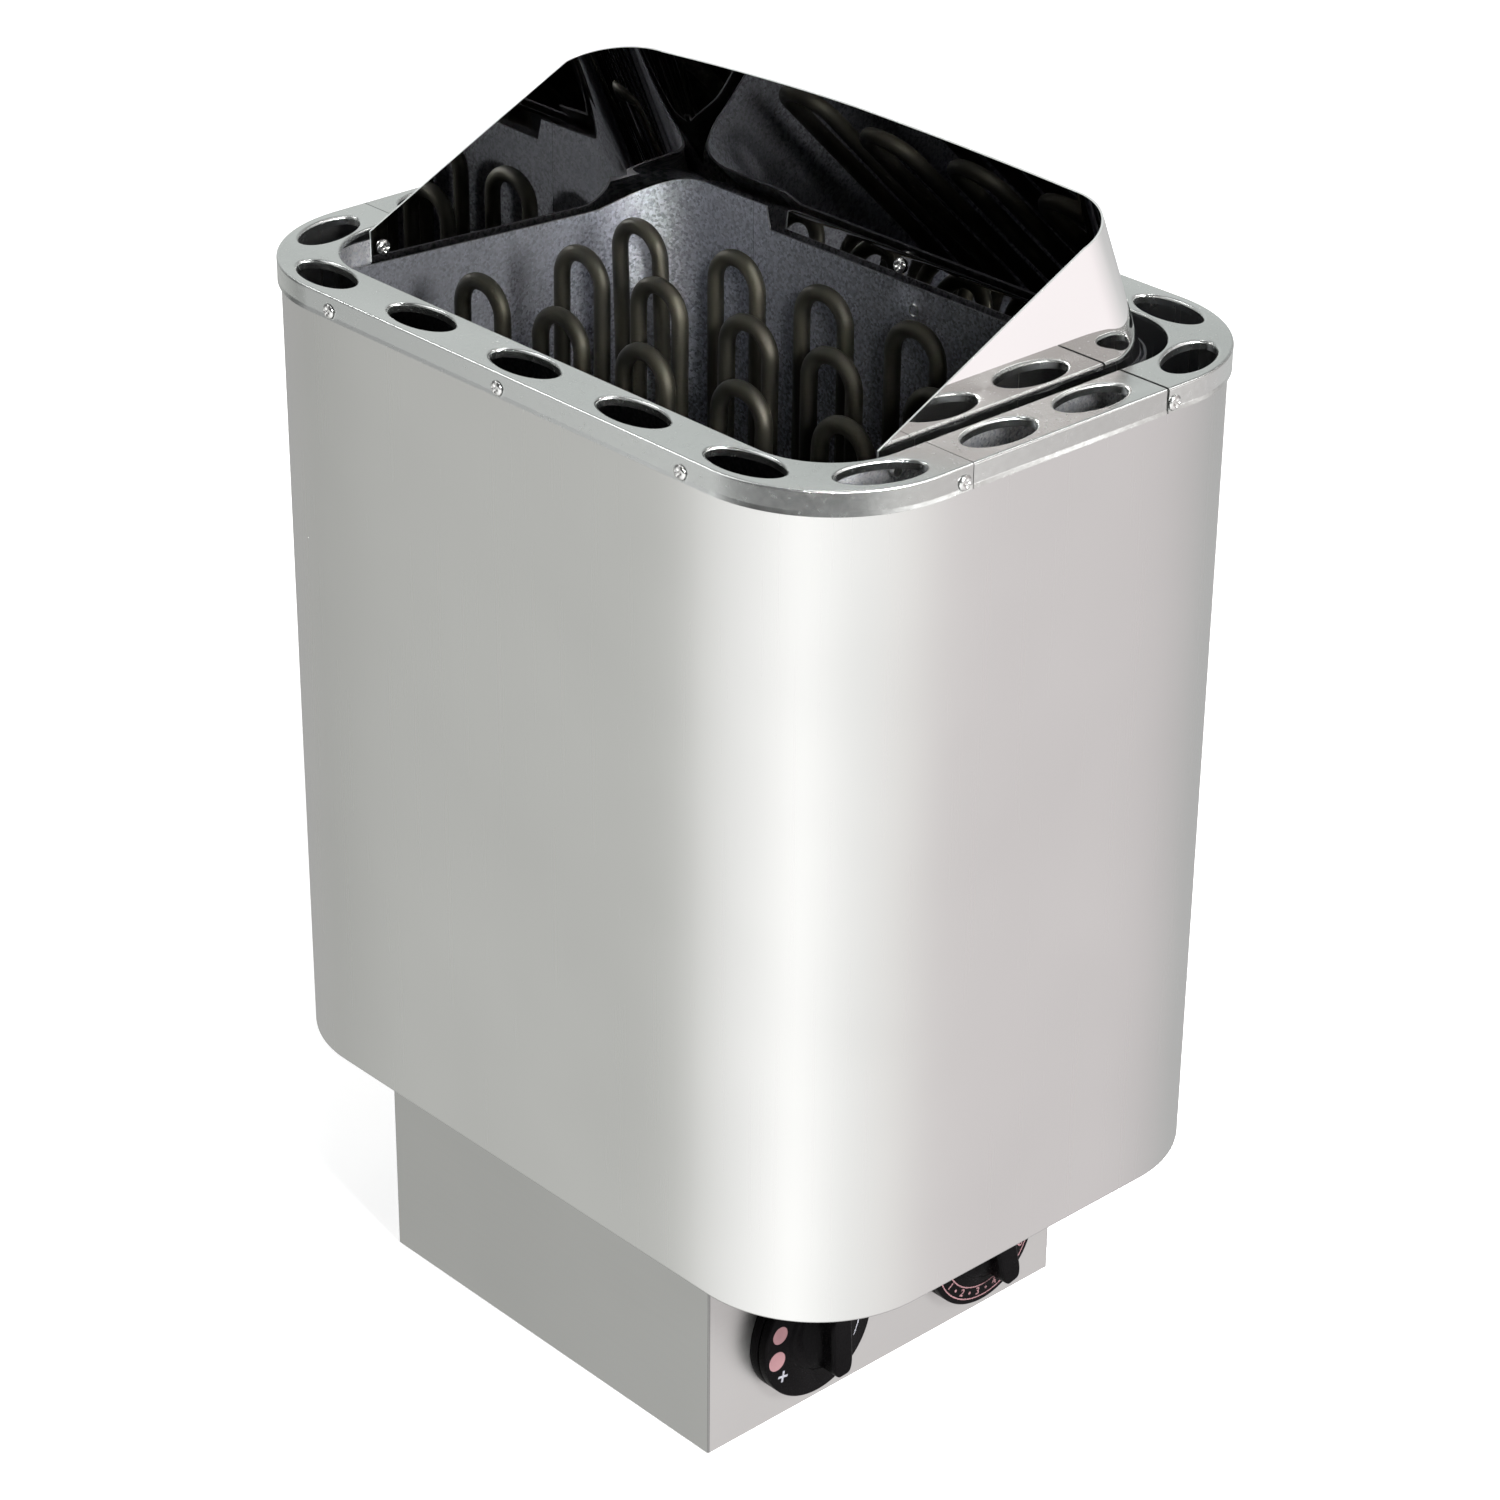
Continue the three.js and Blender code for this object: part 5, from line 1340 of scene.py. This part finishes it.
    def cross(self, name, radius, angle, place):
        """Printed cross of two bars; one lies a little higher, so that they don't coincide."""
        a = math.radians(angle)
        centre = np.array((radius * math.cos(a), radius * math.sin(a)))
        reach, half = 3.1, 0.62
        points, faces = [], []
        for tilt in (45, -45):
            t = math.radians(angle + 90 + tilt)
            way = np.array((math.cos(t), math.sin(t))) * reach
            side = np.array((-way[1], way[0])) / reach * half
            start = len(points)
            for level in (0.0, 0.07 + 0.02 * (tilt > 0)):
                for spot in (way + side, -way + side, -way - side, way - side):
                    points.append((*(centre + spot), level))
            q = [start + k for k in range(8)]
            faces += [(q[4], q[5], q[6], q[7]), (q[3], q[2], q[1], q[0])]
            faces += [(q[k], q[(k + 1) % 4], q[4 + (k + 1) % 4], q[4 + k]) for k in range(4)]
        self.mark(name, np.array(points) * MM, faces, "print_white", place)

    def hours(self, name, place):
        """Two scale rings with hour numerals and small dots between them."""
        for k, (inner, outer) in enumerate(self.RINGS):
            section = ((inner * MM, 0.0), (inner * MM, self.INK),
                       (outer * MM, self.INK), (outer * MM, 0.0))
            rows = []
            for r, level in section:
                turns = (2 * math.pi * j / self.SIDES for j in range(self.SIDES))
                rows.append([(r * math.cos(a), r * math.sin(a), level) for a in turns])
            ring = f"{name}_print_ring_{k + 1}"
            self.mark(ring, np.concatenate(rows), strip(rows, wrap=True), "print_rose", place)
        for k, hour in enumerate(range(1, 13)):
            angle = self.HOUR_FIRST + self.HOUR_STEP * k
            self.numeral(name, hour, angle, place)
            between = angle + self.HOUR_STEP / 2
            self.dot(f"{name}_print_dot_{hour}", self.HOUR_RADIUS, between, 0.8, place)

    def numeral(self, name, hour, angle, place):
        """Hour numeral between the rings, its top towards the middle."""
        a = math.radians(angle)
        curve = bpy.data.curves.new(f"{name}_hour_{hour}", "FONT")
        curve.body = str(hour)
        curve.size = 5.6 * MM
        curve.align_x = "CENTER"
        curve.align_y = "CENTER"
        curve.extrude = self.INK / 2
        curve.offset = 0.12 * MM
        letter = bpy.data.objects.new(f"{name}_hour_{hour}", curve)
        bpy.context.scene.collection.objects.link(letter)
        mesh = bpy.data.meshes.new_from_object(letter)
        bpy.data.objects.remove(letter)
        points = spun([v.co for v in mesh.vertices], a + math.pi / 2)
        radius = self.HOUR_RADIUS * MM
        points += np.array((radius * math.cos(a), radius * math.sin(a), self.INK / 2))
        faces = [tuple(p.vertices) for p in mesh.polygons]
        self.mark(f"{name}_print_hour_{hour}", points, faces, "print_rose", place)
        bpy.data.meshes.remove(mesh)


class HEATER_OT_fasteners(bpy.types.Operator):
    """Rivets of the rim, screws of the guard and of the bracket"""

    bl_idname = "heater.fasteners"
    bl_label = "Fasteners"

    RIVET = (3.6, 1.5)  # radius and height of a head, in millimetres
    SCREW = (3.8, 1.9)

    def execute(self, context):
        aims = {"front": (0, -1, 0), "rear": (0, 1, 0), "left": (-1, 0, 0), "right": (1, 0, 0)}
        for node in sorted(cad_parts):
            if node.startswith("rim_rivet"):
                self.head(node, aims[node.split("_")[2]], *self.RIVET)
        self.head("guard_screw_left", (1, 0, 0), *self.SCREW)
        self.head("guard_screw_right", (-1, 0, 0), *self.SCREW)
        tuck = sizes().guard_tuck
        aim = (0, -math.cos(tuck), math.sin(tuck))
        self.head("guard_screw_back", aim, *self.SCREW, 1.6 * MM)
        for k in range(1, 5):
            dress(f"bracket_screw_{k}", "zinc_plate", 0.3 * MM)
        return {"FINISHED"}

    def head(self, node, aim, radius, high, forward=0.0):
        """Domed head with a cross recess, on its shank."""
        low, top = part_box(node)
        half = (top - low) / 2
        main = max(range(3), key=lambda i: abs(aim[i]))
        way = Vector([math.copysign(1, aim[i]) if i == main else 0 for i in range(3)])
        crown = (low + top) / 2 + way * half[main]
        seat = crown - way * ((high + 0.1) * MM - forward)
        # Shank, neck and dome, as radius and height in millimetres
        shank, neck, neck_foot, brim = 2.4, 1.6, -3.4, 0.15
        profile = [(shank, 2 - 2 * half[main] / MM), (shank, neck_foot), (neck, neck_foot),
                   (neck, 0.0), (radius, 0.0)]
        for k in range(9):
            a = math.radians(10 * k)
            profile.append((radius * math.cos(a) * 0.999, brim + (high - brim) * math.sin(a)))
        profile.append((0.165 * radius, high))
        points, faces = turned([(r * MM, z * MM) for r, z in profile], 48)
        cross, slot, sunk = 0.62 * radius * MM, 0.30 * radius * MM, 0.9 * MM
        for p in points:
            r = math.hypot(p[0], p[1])
            if p[2] > 0.3 * MM and r < cross:
                across = min(abs(p[0]), abs(p[1]))
                depth = max(0.0, 1 - across / slot) * (1 - r / cross) ** 0.5
                p[2] -= sunk * min(1.0, 1.6 * depth)
        points = aimed(points, aim, seat - Vector((0, PLAN_Y, 0)))
        new_piece(
            f"{node}_head", points, faces, "fastener_steel", [node], sharp=50
        )


class HEATER_OT_inner_parts(bpy.types.Operator):
    """Materials and eased edges of the pieces inside and behind"""

    bl_idname = "heater.inner_parts"
    bl_label = "Inner parts"

    def execute(self, context):
        for node, material, ease in (
            ("limiter_body", "switch_pale", 0.8 * MM),
            ("reset_button", "button_red", 0.0),
            ("terminal_block", "switch_pale", 0.6 * MM),
            ("sensor_thermostat", "capillary_copper", 0.0),
            ("sensor_limiter", "capillary_copper", 0.0),
            ("cable_gland", "gland_black", 0.4 * MM),
            ("cable_gland_nut", "gland_black", 0.4 * MM),
            ("wall_bracket", "zinc_plate", 0.5 * MM),
        ):
            dress(node, material, ease)
        return {"FINISHED"}


class HEATER_OT_stage(bpy.types.Operator):
    """Pale floor, soft studio light and the camera"""

    bl_idname = "heater.stage"
    bl_label = "Stage"

    FLOOR_HALF = 20
    FLOOR_DROP = 0.5 * MM
    FLOOR_GLOW = 0.62  # whiteness that the floor adds for the camera alone

    # Studio panels by compass: degrees from the front towards the right, brightness and hue
    LOW_PANELS = (
        (-180, 1.2), (-150, 0.92), (-132, 0.78), (-110, 0.92, 1, 1, 0.99), (-90, 1.08, 1, 1, 0.98),
        (-70, 1.18, 0.99, 1, 0.97), (-58, 1.23, 0.99, 1, 0.97), (-44, 1.50, 0.99, 1, 0.97),
        (-30, 2.25, 1, 1, 0.99), (-12, 2.62), (8, 2.98), (30, 3.38), (48, 3.08), (70, 2.66),
        (98, 2.36, 1, 0.98, 0.975), (124, 1.95, 1, 0.955, 0.965), (145, 1.80, 1, 0.945, 0.96),
        (180, 1.2),
    )
    HIGH_PANELS = (
        (-180, 0.9), (-133, 1.94, 0.97, 1, 0.985), (-100, 2.0, 0.98, 1, 0.99),
        (-75, 0.6, 0.99, 1, 0.99), (-56, 0.1), (-50, 0.6), (-47, 1.9), (-44, 3.1), (-38, 3.5),
        (-30, 1.1), (-20, 0.3), (5, 0.2), (58, 0.2), (72, 0.6, 1, 0.99, 0.98),
        (85, 1.6, 1, 0.97, 0.96), (133, 1.96, 1, 0.92, 0.905), (180, 0.6, 1, 0.98, 0.97),
    )
    BAND = (-0.24, -0.04)  # heights between which the low panels pass into the high ones
    # Brightness by height, from straight down at 0 to straight up at 1
    HEIGHTS = (
        (0.0, 0.8), (0.12, 0.95), (0.22, 1.0), (0.375, 1.0), (0.425, 0.6), (0.57, 0.6),
        (0.65, 0.62), (0.75, 0.62), (0.84, 0.52), (1.0, 0.35),
    )
    PANEL_PEAK = 3.6  # panel brightness that fills a ramp's colour
    STUDIO_STRENGTH = 2.18

    # Name, place, aim, size, power in watts and spread in degrees
    LAMPS = (
        ("key", (2.05, -0.21, 1.4), (0, 0, 0.5), 0.7, 136, 180),
        ("snoot", (1.452, -1.156, 1.314), (-0.155, 0.1, 0.485), 0.1, 0.33, 8),
        ("edge_front", (-1.65, -0.9, 2.15), (0, 0, 0.5), 0.5, 5.5, 180),
        ("edge_corner", (0.6, -0.6, 2.85), (0, 0, 0.5), 0.5, 5.5, 180),
        ("edge_side", (0.9, 1.65, 2.15), (0, 0, 0.5), 0.5, 3.6, 180),
        ("fill", (-1.2, -1.6, 2.4), (0, 0, 0.4), 1.6, 5, 180),
        ("overhead", (0.1, 0.3, 3.0), (0, 0, 0.4), 2.6, 6, 180),
    )

    EYE = (1.29723, -1.19401, 0.69029)  # from the middle of the casing's plan at the rim's top
    EYE_TURN, EYE_TILT, EYE_ROLL = 47.22, 27.75, 0.56  # in degrees
    FOCAL, FRAME = 4112.54, 1500  # in pixels
    SENSOR = 36

    def execute(self, context):
        self.floor()
        self.world(context)
        self.lights()
        self.camera(context)
        context.scene.view_settings.view_transform = "Standard"
        return {"FINISHED"}

    def floor(self):
        """Pale floor that keeps the shadow and is white to the camera."""
        mesh = bpy.data.meshes.new("floor")
        h = self.FLOOR_HALF
        mesh.from_pydata([(-h, -h, 0), (h, -h, 0), (h, h, 0), (-h, h, 0)], [], [(0, 1, 2, 3)])
        material, tree, bsdf = shader("floor_pale")
        base = looks().floor[:]
        cloud = noise(tree, object_coords(tree), 1.5, 2.0)
        tree.links.new(tint(tree, cloud, base, shade(base, 1.01)), bsdf.inputs["Base Color"])
        bsdf.inputs["Roughness"].default_value = 1.0
        bsdf.inputs["Specular IOR Level"].default_value = 0.0
        seen = add(tree, "ShaderNodeLightPath")
        glow = add(tree, "ShaderNodeMath", {1: self.FLOOR_GLOW}, operation="MULTIPLY")
        tree.links.new(seen.outputs["Is Camera Ray"], glow.inputs[0])
        bsdf.inputs["Emission Color"].default_value = (1, 1, 1, 1)
        tree.links.new(glow.outputs["Value"], bsdf.inputs["Emission Strength"])
        mesh.materials.append(material)
        ground = bpy.data.objects.new("floor", mesh)
        ground.location.z = -self.FLOOR_DROP
        ground.visible_glossy = False
        bpy.context.scene.collection.objects.link(ground)

    def world(self, context):
        """Studio surroundings: bright towards the front right, dimmer to the left and behind."""
        world = bpy.data.worlds.new("studio")
        world.use_nodes = True
        tree = world.node_tree
        tree.nodes.clear()
        link = tree.links.new
        coords = add(tree, "ShaderNodeTexCoord")
        split = add(tree, "ShaderNodeSeparateXYZ")
        link(coords.outputs["Generated"], split.inputs["Vector"])
        back = add(tree, "ShaderNodeMath", {1: -1.0}, operation="MULTIPLY")
        link(split.outputs["Y"], back.inputs[0])
        turn = add(tree, "ShaderNodeMath", operation="ARCTAN2")
        link(split.outputs["X"], turn.inputs[0])
        link(back.outputs["Value"], turn.inputs[1])
        compass = remap(tree, turn.outputs["Value"], 0.0, 1.0, -math.pi, math.pi)
        side = add(tree, "ShaderNodeMix", data_type="RGBA")
        link(remap(tree, split.outputs["Z"], 0.0, 1.0, *self.BAND, "SMOOTHSTEP"),
             side.inputs["Factor"])
        link(self.panels(tree, compass, self.LOW_PANELS), side.inputs["A"])
        link(self.panels(tree, compass, self.HIGH_PANELS), side.inputs["B"])
        height = remap(tree, split.outputs["Z"], 0.0, 1.0, -1.0, 1.0)
        level = self.ramp(tree, height, [(place, (v, v, v)) for place, v in self.HEIGHTS])
        mixed = add(tree, "ShaderNodeMix", data_type="RGBA", blend_type="MULTIPLY")
        mixed.inputs["Factor"].default_value = 1.0
        link(side.outputs["Result"], mixed.inputs["A"])
        link(level, mixed.inputs["B"])
        around = add(tree, "ShaderNodeBackground", {"Strength": self.STUDIO_STRENGTH})
        link(mixed.outputs["Result"], around.inputs["Color"])
        plain = add(tree, "ShaderNodeBackground", {"Color": (1, 1, 1, 1), "Strength": 1.0})
        seen = add(tree, "ShaderNodeLightPath")
        choose = add(tree, "ShaderNodeMixShader")
        link(seen.outputs["Is Camera Ray"], choose.inputs["Fac"])
        link(around.outputs["Background"], choose.inputs[1])
        link(plain.outputs["Background"], choose.inputs[2])
        out = add(tree, "ShaderNodeOutputWorld")
        link(choose.outputs["Shader"], out.inputs["Surface"])
        context.scene.world = world

    def panels(self, tree, compass, stops):
        """Ramp of panels round the compass; a panel without a hue is white."""
        placed = []
        for degrees, bright, *hue in stops:
            shown = [bright / self.PANEL_PEAK * h for h in hue or (1, 1, 1)]
            placed.append(((degrees + 180) / 360, shown))
        return self.ramp(tree, compass, placed)

    def ramp(self, tree, value, stops):
        """Colour ramp with stops of a place and a colour, in rising order."""
        made = add(tree, "ShaderNodeValToRGB")
        elements = made.color_ramp.elements
        elements.remove(elements[-1])
        for k, (place, shown) in enumerate(stops):
            element = elements.new(place) if k else elements[0]
            element.position = place
            element.color = (*shown, 1)
        tree.links.new(value, made.inputs["Fac"])
        return made.outputs["Color"]

    def lights(self):
        """Soft lamps, unseen by the camera."""
        for name, spot, target, size, power, spread in self.LAMPS:
            lamp = bpy.data.lights.new(name, "AREA")
            lamp.shape = "DISK"
            lamp.size = size
            lamp.energy = power
            lamp.spread = math.radians(spread)
            holder = bpy.data.objects.new(name, lamp)
            holder.location = spot
            way = Vector(target) - Vector(spot)
            holder.rotation_euler = way.to_track_quat("-Z", "Y").to_euler()
            holder.visible_camera = False
            bpy.context.scene.collection.objects.link(holder)

    def camera(self, context):
        """Camera at the photograph's angle, for a square frame."""
        turn, tilt, roll = map(math.radians, (self.EYE_TURN, self.EYE_TILT, self.EYE_ROLL))
        flat = math.cos(tilt)
        back = Vector((math.sin(turn) * flat, -math.cos(turn) * flat, math.sin(tilt)))
        right = Vector((math.cos(turn), math.sin(turn), 0))
        up = back.cross(right)
        level = right * math.cos(roll) + up * math.sin(roll)
        rise = up * math.cos(roll) - right * math.sin(roll)
        data = bpy.data.cameras.new("camera")
        data.sensor_width = self.SENSOR
        data.lens = self.FOCAL / self.FRAME * self.SENSOR
        data.clip_start, data.clip_end = 0.05, 100
        eye = bpy.data.objects.new("camera", data)
        place = Matrix((level, rise, back)).transposed().to_4x4()
        x, y, z = self.EYE
        place.translation = Vector((x, y + PLAN_Y, z + TOP))
        eye.matrix_world = place
        context.scene.collection.objects.link(eye)
        context.scene.camera = eye


class HEATER_PT_panel(bpy.types.Panel):
    """Lists the heater's pieces"""

    bl_idname = "HEATER_PT_panel"
    bl_label = "Sauna heater"
    bl_space_type = "VIEW_3D"
    bl_region_type = "UI"
    bl_category = "Heater"

    def draw(self, context):
        for group in (context.scene.heater_sizes, context.scene.heater_looks):
            column = self.layout.column(align=True)
            for name in group.__annotations__:
                column.prop(group, name)
        for operator in OPERATORS:
            self.layout.operator(operator.bl_idname)


OPERATORS = (
    HEATER_OT_casing,
    HEATER_OT_rim,
    HEATER_OT_guard,
    HEATER_OT_liner,
    HEATER_OT_elements,
    HEATER_OT_control_box,
    HEATER_OT_dials,
    HEATER_OT_fasteners,
    HEATER_OT_inner_parts,
    HEATER_OT_stage,
)
CLASSES = (HeaterSizes, HeaterLooks, *OPERATORS, HEATER_PT_panel)


def register():
    """Adds the classes and their settings to Blender."""
    for cls in CLASSES:
        bpy.utils.register_class(cls)
    bpy.types.Scene.heater_sizes = PointerProperty(type=HeaterSizes)
    bpy.types.Scene.heater_looks = PointerProperty(type=HeaterLooks)


def unregister():
    """Takes the settings and the classes out again."""
    del bpy.types.Scene.heater_looks
    del bpy.types.Scene.heater_sizes
    for cls in reversed(CLASSES):
        bpy.utils.unregister_class(cls)


def main():
    """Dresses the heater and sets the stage."""
    register()
    bpy.ops.heater.casing()
    bpy.ops.heater.rim()
    bpy.ops.heater.guard()
    bpy.ops.heater.liner()
    bpy.ops.heater.elements()
    bpy.ops.heater.control_box()
    bpy.ops.heater.dials()
    bpy.ops.heater.fasteners()
    bpy.ops.heater.inner_parts()
    bpy.ops.heater.stage()
    bpy.context.view_layer.update()


if __name__ == "__main__":
    main()
